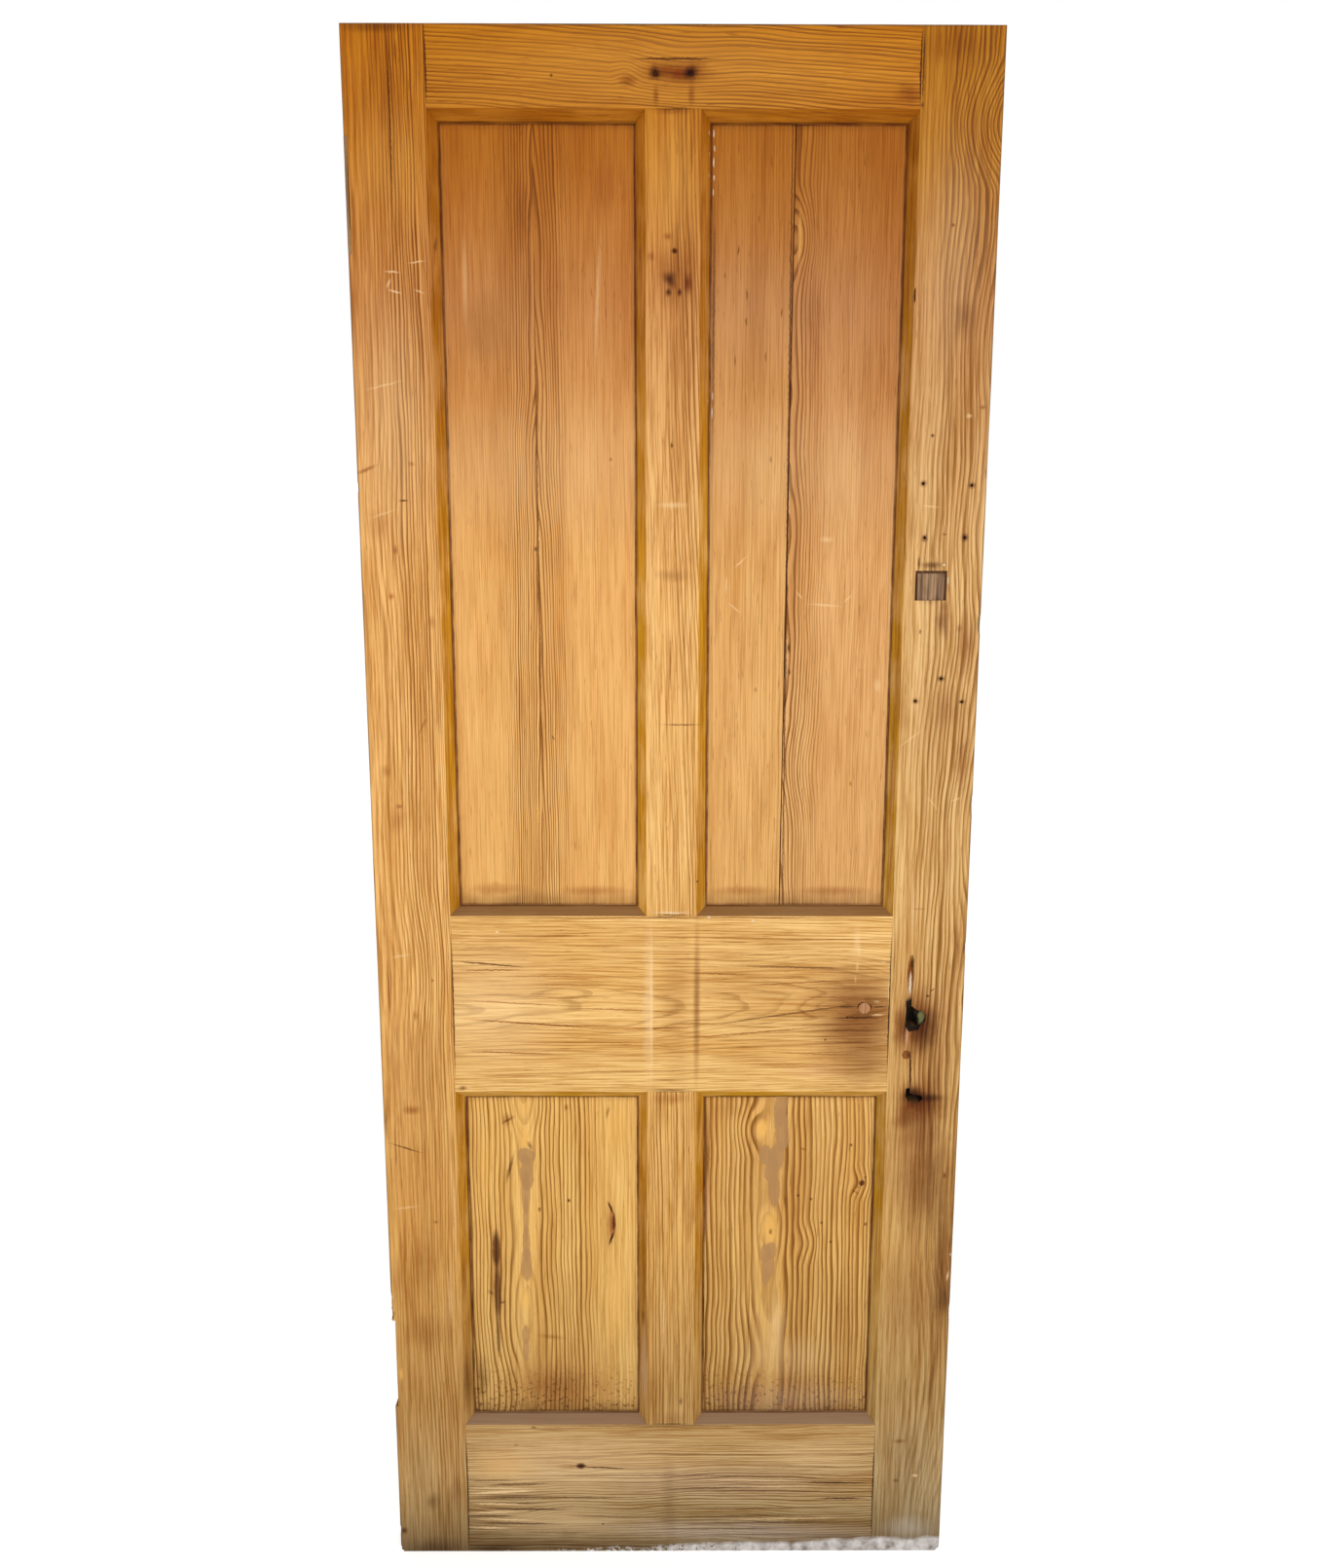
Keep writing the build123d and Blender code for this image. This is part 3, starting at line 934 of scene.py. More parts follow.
@dataclass(frozen=True)
class Dent:
    """A chip or gouge: a lumpy ball that bites into an edge or a face.

    rise is how far its middle stands before the face.
    """

    x: float
    drop: float
    rise: float
    half_width: float
    half_height: float
    half_depth: float
    seed: int
    face: float = FRONT

    def tool(self) -> Piece:
        """Makes the lumpy ball that cuts the chip.

        Returns:
            The ball.
        """
        deselect()
        bpy.ops.mesh.primitive_ico_sphere_add(subdivisions=3, radius=1.0)
        ball = bpy.context.object
        chance = random.Random(self.seed)
        for vertex in ball.data.vertices:
            swell = 1.0 + chance.uniform(-DENT_LUMPINESS, DENT_LUMPINESS)
            vertex.co = (self.x + vertex.co.x * self.half_width * swell,
                         self.face - self.rise + vertex.co.y * self.half_depth * swell,
                         height(self.drop) + vertex.co.z * self.half_height * swell)
            vertex.co *= MM
        return ball


@dataclass
class Board:
    """One board: a copy of its solid with worn arrises, old holes and uneven faces."""

    node: str
    slot: str
    finish: PineFinish
    arris: float = 0.7
    unevenness: float = 0.45
    cell: float = 24.0
    cuts: tuple[Bore | Crack | Dent, ...] = ()

    def build(self) -> Piece:
        """Shapes and dresses the board.

        Returns:
            The finished piece.
        """
        piece = copy_of(self.node, self.node + "_pine")
        eased(piece, self.arris)
        for cut in self.cuts:
            cut_away(piece, cut.tool())
        low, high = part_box(self.node)
        for_wear = ((axis, evenly(low[axis], high[axis], self.cells(high[axis] - low[axis])))
                    for axis in (0, 2))
        sliced(piece, *for_wear)
        roughened(piece, self.node + "_hollows", 0.07, self.unevenness, 0.5)
        return dressed(piece, self.finish, self.node)

    def cells(self, length: float) -> int:
        """How many cells the wear moves apart along a length in metres."""
        return max(1, round(length / (self.cell * MM)))


UPPER_LEFT = Opening(-STILE_TIP, -MUNTIN_TIP, 101.6, 1038.75)
UPPER_RIGHT = Opening(MUNTIN_TIP, STILE_TIP, 101.6, 1038.75)
LOWER_LEFT = Opening(-STILE_TIP, -MUNTIN_TIP, 1302.25, 1769.0)
LOWER_RIGHT = Opening(MUNTIN_TIP, STILE_TIP, 1302.25, 1769.0)

HINGE_STILE = PineFinish(
    "hinge_stile_stripped_pine",
    Figure(Grain.UPRIGHT, (-394.0, 45.0), 1000.0, (5.0, 5.0), 3.1, (-372.0, -315.0), (0.4, 0.95),
           waver=2.4, waver_length=300.0, seed=1.0,
           bends=(Bend(-330.0, 1120.0, 60.0, 130.0, -7.0), Bend(-360.0, 560.0, 40.0, 150.0, 5.0)),
           calm=(1000.0, 1300.0, 0.65)),
    tint="#fff8ec",
    marks=(
        Stain.GOLDEN.soft((-330, 150, 60, 90, 0.14)),
        Stain.BARE.soft((-335, 440, 62, 200, 0.16)),
        Stain.BROWN.soft((-318, 30, 4, 18, 0.5), (-358, 560, 20, 28, 0.35), (-296, 676, 6, 12, 0.45),
            (-312, 805, 22, 2.5, 0.5, -62), (-360, 862, 9, 12, 0.5), (-346, 925, 18, 26, 0.4),
            (-334, 1185, 5, 10, 0.6), (-343, 1316, 16, 9, 0.7), (-370, 1560, 8, 50, 0.4),
            (-335, 1640, 45, 36, 0.35), (-300, 1890, 14, 40, 0.4), (-366, 1250, 10, 320, 0.2),
            (-332, 1430, 60, 280, 0.18), (-330, 1250, 60, 110, 0.25)),
        Stain.PURPLE.soft((-336, 1540, 16, 70, 0.3)),
        Stain.REDDISH.soft((-345, 645, 6, 6, 0.7)),
        Stain.GREY_DIRT.soft((-378, 1330, 3, 45, 0.8), (-350, 1840, 30, 70, 0.3)),
        Stain.OLD_POLISH.soft((-370, 494, 20, 3.4, 0.7, -22), (-315, 487, 6, 4, 0.5), (-338, 589, 5, 8, 0.55),
            (-345, 907, 7, 4, 0.6), (-310, 1137, 3, 3, 0.7), (-316, 1476, 5, 4, 0.6),
            (-280, 1560, 6, 60, 0.6), (-279, 1150, 8, 460, 0.3), (-279, 1690, 8, 120, 0.4)),
        Stain.TAR.soft((-340, 4, 62, 9, 0.5), (-279, 236, 2.8, 14, 0.9, 8), (-326, 530, 7, 1.4, 0.9, -2),
            (-352, 1370, 27, 1.9, 0.75, 18), (-280, 1722, 9, 70, 0.6), (-332, 1900, 12, 22, 0.4, 20),
            (-332, 1976, 62, 22, 0.5), (-376, 1947, 8, 8, 0.8)),
        Stain.TAR.firm((-326.5, 100, 0.9, 108, 0.8, 0.3)),
        Stain.GOLDEN.soft((-371, 1703, 4, 15, 0.6)),
        Stain.BARE.soft((-330, 268, 12, 1.7, 0.6, 4), (-328, 290, 11, 1.9, 0.6, 14),
            (-301, 257, 14, 1.6, 0.5, -9), (-335, 281, 2.2, 8, 0.5, 30), (-299, 290, 8, 1.8, 0.45, 20),
            (-345, 396, 32, 1.7, 0.4, -14), (-352, 546, 24, 1.7, 0.4, -18), (-350, 1104, 18, 2.6, 0.35, -10),
            (-291, 1450, 1.6, 75, 0.5), (-355, 1455, 24, 2.2, 0.35, -8), (-300, 1590, 3, 60, 0.35)),
        Stain.SOOT.soft((-380.5, 515, 2.2, 10, 0.7)),
    ))

LOCK_STILE = PineFinish(
    "lock_stile_stripped_pine",
    Figure(Grain.UPRIGHT, (438.0, 54.0), 1000.0, (-14.0, 0.0), 4.8, (303.0, 338.0), (0.35, 1.0),
           waver=4.4, waver_length=190.0, latewood=0.46, seed=2.0,
           bends=(Bend(396.0, 106.0, 95.0, 80.0, -30.0), Bend(392.0, 330.0, 60.0, 110.0, -9.0),
                  Bend(350.0, 700.0, 60.0, 160.0, 9.0), Bend(395.0, 930.0, 80.0, 120.0, -12.0),
                  Bend(320.0, 1230.0, 60.0, 120.0, -8.0), Bend(360.0, 1700.0, 80.0, 240.0, 12.0)),
           calm=(1270.0, 1400.0, 0.5)),
    tint="#f2f7ff", foot_paint=True,
    marks=(
        Stain.BARE.soft((330, 250, 60, 180, 0.12)),
        Stain.PAINT.soft((336, 1944, 50, 24, 0.22)),
        Stain.BROWN.soft((334, 655, 9, 9, 0.5), (355, 683, 5, 8, 0.6), (364, 705, 20, 56, 0.6),
            (345, 785, 40, 40, 0.35), (366, 850, 14, 70, 0.6), (370, 1100, 10, 90, 0.4),
            (306, 1330, 16, 20, 0.6), (330, 1400, 66, 120, 0.5), (330, 1580, 60, 120, 0.45),
            (362, 1700, 6, 90, 0.7, 5), (319, 1807, 12, 5, 0.7), (332, 1305, 50, 50, 0.8),
            (356, 1200, 26, 120, 0.35), (326, 1350, 40, 30, 0.5), (330, 800, 60, 110, 0.2),
            (330, 1400, 60, 110, 0.2), (325, 20, 70, 30, 0.35), (320, 1200, 50, 100, 0.5),
            (345, 1285, 42, 90, 0.4)),
        Stain.PURPLE.soft((345, 318, 22, 34, 0.4), (335, 674, 13, 34, 0.75), (370, 1540, 24, 160, 0.8),
            (345, 1420, 54, 130, 0.5)),
        Stain.GREY_DIRT.soft((380, 905, 5, 20, 0.9), (379, 1092, 3, 14, 0.9), (316, 1869, 6, 4, 0.8),
            (380, 1610, 3, 16, 0.9), (330, 1840, 60, 90, 0.35)),
        Stain.OLD_POLISH.soft((328, 215, 3.4, 3.4, 0.8), (372, 420, 5, 4, 0.6), (332, 569, 4, 2, 0.7),
            (318, 1041, 12, 1.4, 0.6), (340, 1150, 6, 1.8, 0.9, -30), (300, 1200, 13, 46, 0.7),
            (322, 1310, 38, 42, 0.85), (366, 1409, 4, 7, 0.8), (279, 820, 5.5, 480, 0.55),
            (279, 1200, 8, 480, 0.22), (325, 1196, 36, 66, 0.9)),
        Stain.OLD_POLISH.firm((311, 1130, 5.5, 30, 0.9)),
        Stain.OLD_POLISH.crisp((309, 1239, 6.2, 7, 0.8)),
        Stain.TAR.soft((313, 453, 3, 3, 0.9), (304, 509, 6, 6, 0.9), (363, 511, 6.5, 6, 0.85),
            (308, 574, 5.5, 7, 0.9), (357, 573, 6.5, 7.5, 0.9), (318, 606, 21, 6, 0.7),
            (302, 604, 2.5, 13, 0.8), (307, 687, 2.6, 5, 0.7), (335, 745, 6.5, 5.5, 0.95),
            (304, 773, 5.5, 5.5, 0.9), (362, 774, 6, 5, 0.85), (313, 1114, 3.4, 12, 0.8),
            (334, 1158, 3.4, 2.4, 0.95), (306, 1206, 4.4, 26, 0.7), (312, 1239, 2, 6, 0.6),
            (322, 1297, 24, 17, 0.9), (345, 1299, 22, 9, 0.7), (374, 1590, 14, 30, 0.5),
            (330, 1204, 24, 44, 0.65)),
        Stain.TAR.firm((315, 1262, 1.6, 38, 0.9, -1.5), (318, 630, 27, 27, 0.5)),
        Stain.BARE.soft((356, 430, 5, 4, 0.5), (314, 536, 16, 1.4, 0.5, 6), (300, 820, 24, 1.6, 0.4, -38),
            (330, 902, 14, 1.6, 0.4, 52), (360, 898, 10, 1.6, 0.45, -24), (311, 1040, 1.8, 62, 0.55),
            (376, 1556, 1.8, 10, 0.7, 6), (343, 1861, 6, 3.6, 0.6)),
        Stain.PINK.soft((309, 1214, 4, 20, 0.7)),
        Stain.CHALK.soft((333, 606, 2.4, 2, 0.9), (339, 625, 1.6, 8, 0.6), (379, 1524, 1.8, 3.4, 0.8)),
        Stain.CHALK.firm((311.5, 1142, 2.3, 20, 0.85)),
        Stain.SOOT.soft((287, 85, 2.6, 5, 0.7), (380, 677, 6, 18, 0.6)),
        Stain.SOOT.firm((287, 45, 1.4, 46, 0.75), (286, 293, 1.4, 10, 0.8, 2)),
        # Painted shade: near-black over the walls of the spindle hole, the keyhole and, faintly, the square
        # hole.
        Marks(Stain.SOOT, Edge.CRISP, inside=True, places=((318, 1192, 26, 34, 0.97),
            (322, 1297, 26, 20, 0.97), (318, 631, 32, 32, 0.2))),
        # Painted light: an olive patch where light falls on the spindle hole's upper wall.
        Marks(Stain.OLIVE, Edge.FIRM, inside=True, places=((327, 1188, 6.5, 12, 0.75, 12),)),
    ))

TOP_RAIL = PineFinish(
    "top_rail_stripped_pine",
    Figure(Grain.ACROSS, (-240.0, 10.0), 0.0, (60.0, 0.0), 4.4, (0.0, 110.0), (0.85, 0.95),
           waver=2.6, waver_length=190.0, latewood=0.38, seed=3.0,
           bends=(Bend(4.0, 42.0, 96.0, 60.0, -9.0), Bend(-54.0, 50.0, 22.0, 26.0, 6.0))),
    tint="#fffdf2", fibre=0.55,
    marks=(
        Stain.GOLDEN.soft((0, 42, 330, 70, 0.14)),
        Stain.OLD_POLISH.soft((4, 51, 56, 19, 0.95), (-52, 60, 16, 9, 0.6), (272, 74, 22, 18, 0.5),
            (-20, 76, 5, 15, 0.6), (21, 75, 6, 17, 0.6)),
        Stain.TAR.soft((-20.5, 53, 12, 11, 1), (20.5, 52, 13, 11, 1), (0, 0, 300, 3.4, 0.8),
            (-140, 55, 3, 3, 0.8)),
        Stain.TAR.firm((2, 37, 62, 1.7, 0.8), (-284.3, 45, 1.7, 48, 0.9), (284.3, 45, 1.7, 48, 0.9)),
        Stain.SOOT.soft((-20.5, 53, 4.5, 4.5, 0.7), (20.5, 52, 4.5, 4.5, 0.7)),
    ))

LOCK_RAIL = PineFinish(
    "lock_rail_stripped_pine",
    Figure(Grain.ACROSS, (1172.0, 30.0), -286.0, (-6.0, 34.0), 3.6, (1051.0, 1289.0), (0.46, 0.42),
           waver=2.8, waver_length=170.0, latewood=0.24, seed=4.0,
           bends=(Bend(-130.0, 1151.0, 70.0, 13.0, -5.0), Bend(-60.0, 1215.0, 150.0, 40.0, -6.0),
                  Bend(205.0, 1172.0, 76.0, 22.0, 7.0), Bend(200.0, 1110.0, 130.0, 40.0, -5.0))),
    tint="#fffef8", bleached=0.3,
    marks=(
        Stain.BARE.soft((-230, 1170, 120, 130, 0.3)),
        Stain.PINK.soft((190, 1262, 60, 14, 0.3)),
        Stain.BROWN.soft((6, 1165, 30, 150, 0.3), (244, 1180, 60, 70, 0.4), (236, 1206, 90, 110, 0.35)),
        Stain.PURPLE.soft((33, 1170, 6.5, 150, 0.75), (150, 1150, 190, 120, 0.2), (262, 1256, 60, 40, 0.3),
            (250, 1196, 92, 120, 0.7)),
        Stain.OLD_POLISH.firm((-180, 1196, 112, 1.4, 0.85, 4), (-235, 1123, 50, 1.2, 0.8),
            (-20, 1202, 60, 1.4, 0.8, -1), (-62, 1177, 90, 1.3, 0.7, 2), (-210, 1236, 80, 1.3, 0.75, 2),
            (-200, 1168, 90, 1.2, 0.7, 3), (110, 1208, 120, 1.3, 0.7, -5), (170, 1140, 100, 1.2, 0.7, -3),
            (60, 1128, 60, 1.2, 0.7, 2), (200, 1238, 80, 1.2, 0.6, 2), (0, 1053, 300, 1.6, 0.5),
            (-130, 1143, 58, 1.2, 0.6, 1), (-130, 1160, 52, 1.2, 0.55, -2), (-240, 1095, 60, 1.2, 0.4),
            (80, 1080, 120, 1.2, 0.4, 1), (-60, 1262, 140, 1.2, 0.45, -1), (-160, 1131, 70, 1.1, 0.5),
            (100, 1134, 80, 1.1, 0.45), (60, 1196, 90, 1.1, 0.5), (-100, 1222, 120, 1.1, 0.45),
            (150, 1252, 110, 1.1, 0.45), (-180, 1268, 90, 1.1, 0.4), (120, 1102, 100, 1.1, 0.4),
            (-60, 1090, 110, 1.1, 0.35), (210, 1160, 60, 1.1, 0.6), (190, 1198, 70, 1.1, 0.5),
            (240, 1222, 44, 1.1, 0.5), (215, 1148, 70, 1.2, 0.6), (230, 1205, 54, 1.3, 0.6),
            (200, 1172, 40, 1.1, 0.5)),
        Stain.TAR.soft((160, 1119, 122, 2.2, 0.75, 1.5), (-275, 1285, 8, 5, 0.7), (0, 1288, 40, 2.4, 0.7)),
        Stain.TAR.firm((-235, 1115, 56, 1.5, 0.8, 5), (150, 1183, 118, 1.5, 0.65, -8.5),
            (244, 1188, 42, 1.3, 0.9), (-284.4, 1170, 1.7, 122, 0.9)),
        Stain.TAR.crisp((252, 1175, 10.2, 10.2, 0.85)),
        Stain.BARE.soft((-225, 1072, 3, 3, 0.8), (283.5, 1150, 1.8, 34, 0.7), (270, 1184, 13, 1.6, 0.7, -3),
            (-30, 1170, 10, 150, 0.35), (-26, 1170, 2.6, 150, 0.55), (240, 1085, 7, 30, 0.3),
            (243, 1098, 1.6, 12, 0.5), (241, 1118, 3, 9, 0.35), (239, 1136, 2, 7, 0.3),
            (275, 1112, 6, 2, 0.4), (268, 1166, 6, 2, 0.35)),
        Stain.CHALK.soft((105, 1057, 4, 2, 0.7), (48, 1052, 4, 2, 0.7), (0, 1049.5, 34, 1.8, 0.5)),
        Stain.SOOT.soft((230, 1187, 2.4, 2.4, 0.8), (202, 1218, 2.4, 2.4, 0.8), (-12, 1052, 30, 1.2, 0.7)),
        Stain.SOOT.firm((230, 1173, 17, 1.1, 0.8), (272, 1173, 12, 1.1, 0.8), (284.6, 1170, 1.7, 122, 0.9)),
    ))

BOTTOM_RAIL = PineFinish(
    "bottom_rail_stripped_pine",
    Figure(Grain.ACROSS, (2180.0, 10.0), 0.0, (-8.0, 0.0), 4.2, (1790.0, 1880.0), (0.5, 1.0),
           waver=4.4, waver_length=170.0, latewood=0.34, seed=5.0,
           bends=(Bend(-125.0, 1845.0, 46.0, 22.0, 6.0), Bend(-220.0, 1925.0, 90.0, 34.0, 8.0),
                  Bend(120.0, 1860.0, 120.0, 40.0, -5.0))),
    tint="#ffffff", foot_paint=True, dust="#866954",
    marks=(
        Stain.GOLDEN.soft((-235, 1845, 62, 36, 0.3)),
        Stain.BARE.soft((-160, 1930, 150, 36, 0.3), (-150, 1845, 240, 76, 0.34), (200, 1830, 120, 40, 0.2),
            (0, 1945, 300, 26, 0.1)),
        Stain.PAINT.soft((140, 1952, 230, 20, 0.16), (60, 1870, 240, 44, 0.1), (40, 1944, 200, 22, 0.14)),
        Stain.BROWN.soft((-135, 1846, 34, 4, 0.6)),
        Stain.GREY_DIRT.soft((120, 1935, 150, 20, 0.15), (-2, 1900, 16, 95, 0.3)),
        Stain.TAR.soft((-190, 1785, 6, 2.4, 0.8), (-215, 1812, 5, 2, 0.6), (-250, 1976, 60, 9, 0.6),
            (-230, 1894, 76, 5, 0.55, -2), (0, 1783, 290, 2, 0.5)),
        Stain.TAR.firm((-92, 1848, 40, 1.4, 0.9, 3), (-215, 1936, 80, 1.7, 0.8, 1),
            (-255, 1924, 46, 1.6, 0.8), (60, 1880, 90, 1.5, 0.6, -1), (-250, 1868, 50, 1.4, 0.7),
            (230, 1872, 60, 1.7, 0.9, 1), (240, 1897, 46, 1.5, 0.9), (120, 1862, 120, 1.3, 0.6, 1),
            (90, 1925, 140, 1.4, 0.6, -1), (70, 1945, 120, 1.6, 0.6), (100, 1912, 120, 1.3, 0.5),
            (-100, 1925, 60, 1.3, 0.6, 2), (-160, 1950, 60, 1.3, 0.5), (-230, 1903, 60, 1.2, 0.6),
            (140, 1885, 130, 1.2, 0.5, 1), (110, 1954, 110, 1.2, 0.5), (180, 1847, 90, 1.2, 0.35),
            (-215, 1874, 60, 1.6, 0.8, -1), (-205, 1913, 75, 1.7, 0.85, 1), (-150, 1895, 120, 1.4, 0.7),
            (130, 1935, 150, 1.4, 0.6, -1), (-30, 1860, 200, 1.2, 0.5), (-125, 1845, 9, 6, 0.9)),
        Stain.BARE.soft((-245, 1918, 55, 2.4, 0.75, -1), (-230, 1930, 70, 2.2, 0.65, 2),
            (-255, 1943, 44, 2.6, 0.6, 1), (-240, 1880, 60, 2.2, 0.6, 1)),
        Stain.BARE.firm((-235, 1886, 60, 2.4, 0.7, -3), (-240, 1905, 50, 2, 0.6, 2),
            (120, 1868, 90, 1.8, 0.4, 1), (150, 1878, 100, 1.6, 0.4), (160, 1929, 110, 1.8, 0.4, -1)),
        Stain.SOOT.soft((-95, 1937, 2.6, 2.6, 0.8), (-125, 1845, 4, 3.4, 0.7)),
        Stain.SOOT.firm((-284.4, 1885, 1.7, 100, 0.9), (284.6, 1885, 1.7, 100, 0.9)),
    ))

UPPER_MUNTIN = PineFinish(
    "upper_muntin_stripped_pine",
    Figure(Grain.UPRIGHT, (150.0, 36.0), 600.0, (44.0, 0.0), 4.2, (-18.0, 14.0), (0.3, 0.8),
           waver=3.0, waver_length=240.0, latewood=0.36, seed=6.0),
    tint="#fffdf6",
    marks=(
        Stain.GOLDEN.soft((0, 170, 44, 110, 0.2)),
        Stain.BROWN.soft((-6, 228, 8, 6, 0.7), (-25, 250, 6, 8, 0.6), (0, 270, 34, 46, 0.5)),
        Stain.PURPLE.soft((0, 620, 30, 12, 0.4)),
        Stain.OLD_POLISH.soft((18, 280, 8, 18, 0.85), (0, 92, 34, 6, 0.5), (-39, 245, 4, 18, 0.7)),
        Stain.TAR.soft((2, 244, 5.5, 4.6, 1), (-2, 276, 10, 14, 0.9), (-5, 290, 5, 7, 0.9),
            (8, 290, 4, 7, 0.95), (12, 803, 34, 1.5, 0.85), (0, 90.3, 34, 1.2, 0.8)),
        Stain.BARE.soft((0, 535, 26, 5, 0.4)),
        Stain.CHALK.soft((0, 1046, 33, 1.8, 0.55)),
        Stain.CHALK.firm((42, 112, 0.8, 5, 0.6), (42.5, 135, 0.8, 4, 0.6), (42, 158, 0.8, 6, 0.6),
            (42.4, 412, 0.8, 5, 0.6)),
        Stain.SOOT.soft((-1, 465, 2.2, 6, 0.85), (33, 1005, 2.4, 2.4, 0.85), (0, 1049.4, 34, 1.5, 0.8)),
    ))

LOWER_MUNTIN = PineFinish(
    "lower_muntin_stripped_pine",
    Figure(Grain.UPRIGHT, (-170.0, 20.0), 1500.0, (6.0, 0.0), 4.4, (-40.0, 40.0), (0.75, 0.85),
           waver=2.4, waver_length=220.0, latewood=0.36, seed=7.0),
    tint="#fffaf0",
    marks=(
        Stain.BROWN.soft((0, 1300, 34, 12, 0.5), (20, 1450, 10, 50, 0.3), (0, 1772, 36, 18, 0.3)),
        Stain.GREY_DIRT.soft((-38, 1560, 5, 200, 0.8)),
        Stain.OLD_POLISH.soft((38, 1330, 5, 40, 0.6)),
        Stain.TAR.soft((-38, 1620, 4, 20, 0.7), (14, 1745, 4, 8, 0.6)),
        Stain.BARE.soft((-10, 1620, 1.8, 84, 0.6)),
        Stain.PAINT.soft((-38, 1690, 7, 90, 0.25)),
        Stain.SOOT.soft((0, 1290.3, 34, 1.4, 0.7), (0, 1779.8, 34, 1.6, 0.75)),
    ))

UPPER_LEFT_OUTER = PineFinish(
    "upper_left_outer_panel_pine",
    Figure(Grain.UPRIGHT, (-160.0, 1.0), 1000.0, (0.0, -19.0), 2.3, (-222.0, -190.0), (0.25, 1.0),
           waver=1.6, waver_length=120.0, latewood=0.42, seed=8.0),
    tint="#f7ecda", face=PANEL_FRONT, opening=UPPER_LEFT, fibre=0.5,
    marks=(
        Stain.BARE.soft((-225, 490, 130, 110, 0.14), (-225, 310, 120, 110, 0.06)),
        Stain.BROWN.soft((-225, 1018, 52, 10, 0.5), (-178, 200, 14, 60, 0.5), (-190, 780, 8, 60, 0.35),
            (-225, 230, 130, 250, 0.22)),
        Stain.PURPLE.soft((-225, 330, 36, 60, 0.3)),
        Stain.VARNISH.soft((-225, 95, 150, 130, 0.3)),
        Stain.TAR.soft((-165.3, 570, 0.9, 470, 0.8), (-168, 587, 3, 5, 0.8)),
        Stain.GOLDEN.soft((-171, 915, 2.6, 25, 0.5)),
        Stain.BARE.soft((-247, 275, 4, 75, 0.22)),
    ))

UPPER_LEFT_INNER = PineFinish(
    "upper_left_inner_panel_pine",
    Figure(Grain.UPRIGHT, (-170.0, 1.0), 1000.0, (0.0, -22.0), 2.6, (-150.0, -112.0), (0.95, 0.25),
           waver=1.8, waver_length=160.0, latewood=0.38, seed=9.0),
    tint="#f7ecdc", face=PANEL_FRONT, opening=UPPER_LEFT, fibre=0.5,
    marks=(
        Stain.BARE.soft((-100, 490, 130, 110, 0.14)),
        Stain.BROWN.soft((-100, 1020, 60, 9, 0.5), (-120, 640, 4, 30, 0.35), (-100, 230, 130, 250, 0.22)),
        Stain.REDDISH.soft((-80, 170, 36, 50, 0.25)),
        Stain.OLD_POLISH.soft((-75, 480, 3, 3, 0.6)),
        Stain.VARNISH.soft((-100, 95, 150, 130, 0.3)),
        Stain.TAR.soft((-164.7, 570, 0.9, 470, 0.8), (-150, 821, 4.5, 1.8, 0.95, 65)),
        Stain.BARE.soft((-90, 300, 3.6, 105, 0.25, 3)),
    ))

UPPER_RIGHT_INNER = PineFinish(
    "upper_right_inner_panel_pine",
    Figure(Grain.UPRIGHT, (210.0, 20.0), 600.0, (6.0, 0.0), 3.4, (60.0, 140.0), (0.25, 0.4),
           waver=2.6, waver_length=240.0, latewood=0.34, seed=10.0),
    tint="#efe6da", face=PANEL_FRONT, opening=UPPER_RIGHT, fibre=0.5,
    marks=(
        Stain.BARE.soft((95, 490, 130, 110, 0.14), (95, 310, 120, 110, 0.1)),
        Stain.BROWN.soft((93, 1020, 56, 9, 0.5), (95, 230, 130, 250, 0.2)),
        Stain.OLD_POLISH.soft((105, 760, 3, 5, 0.5), (120, 480, 3, 6, 0.5)),
        Stain.VARNISH.soft((95, 95, 150, 130, 0.3)),
        Stain.TAR.soft((78, 240, 1.5, 8, 0.8, 3), (88, 290, 1.4, 9, 0.8), (88, 320, 1.4, 7, 0.75),
            (75, 365, 1.4, 9, 0.7), (112, 360, 1.4, 8, 0.7), (130, 310, 1.4, 8, 0.7),
            (102, 205, 1.2, 6, 0.65), (62, 268, 1.2, 6, 0.6), (49, 330, 2.6, 210, 0.7)),
        Stain.TAR.firm((141.5, 570, 1.5, 720, 0.8, -0.25)),
        Stain.BARE.soft((84, 603, 14, 1.9, 0.5, -42), (67, 631, 2, 15, 0.5), (78, 659, 14, 1.9, 0.45, 38)),
        Stain.CHALK.firm((47.5, 112, 0.8, 6, 0.7), (48.5, 128, 0.8, 4, 0.7), (47.6, 143, 0.9, 7, 0.7),
            (48.3, 160, 0.8, 4, 0.7), (47.6, 176, 0.8, 5, 0.6), (48.4, 406, 0.8, 6, 0.6),
            (47.8, 425, 0.8, 8, 0.6)),
    ))

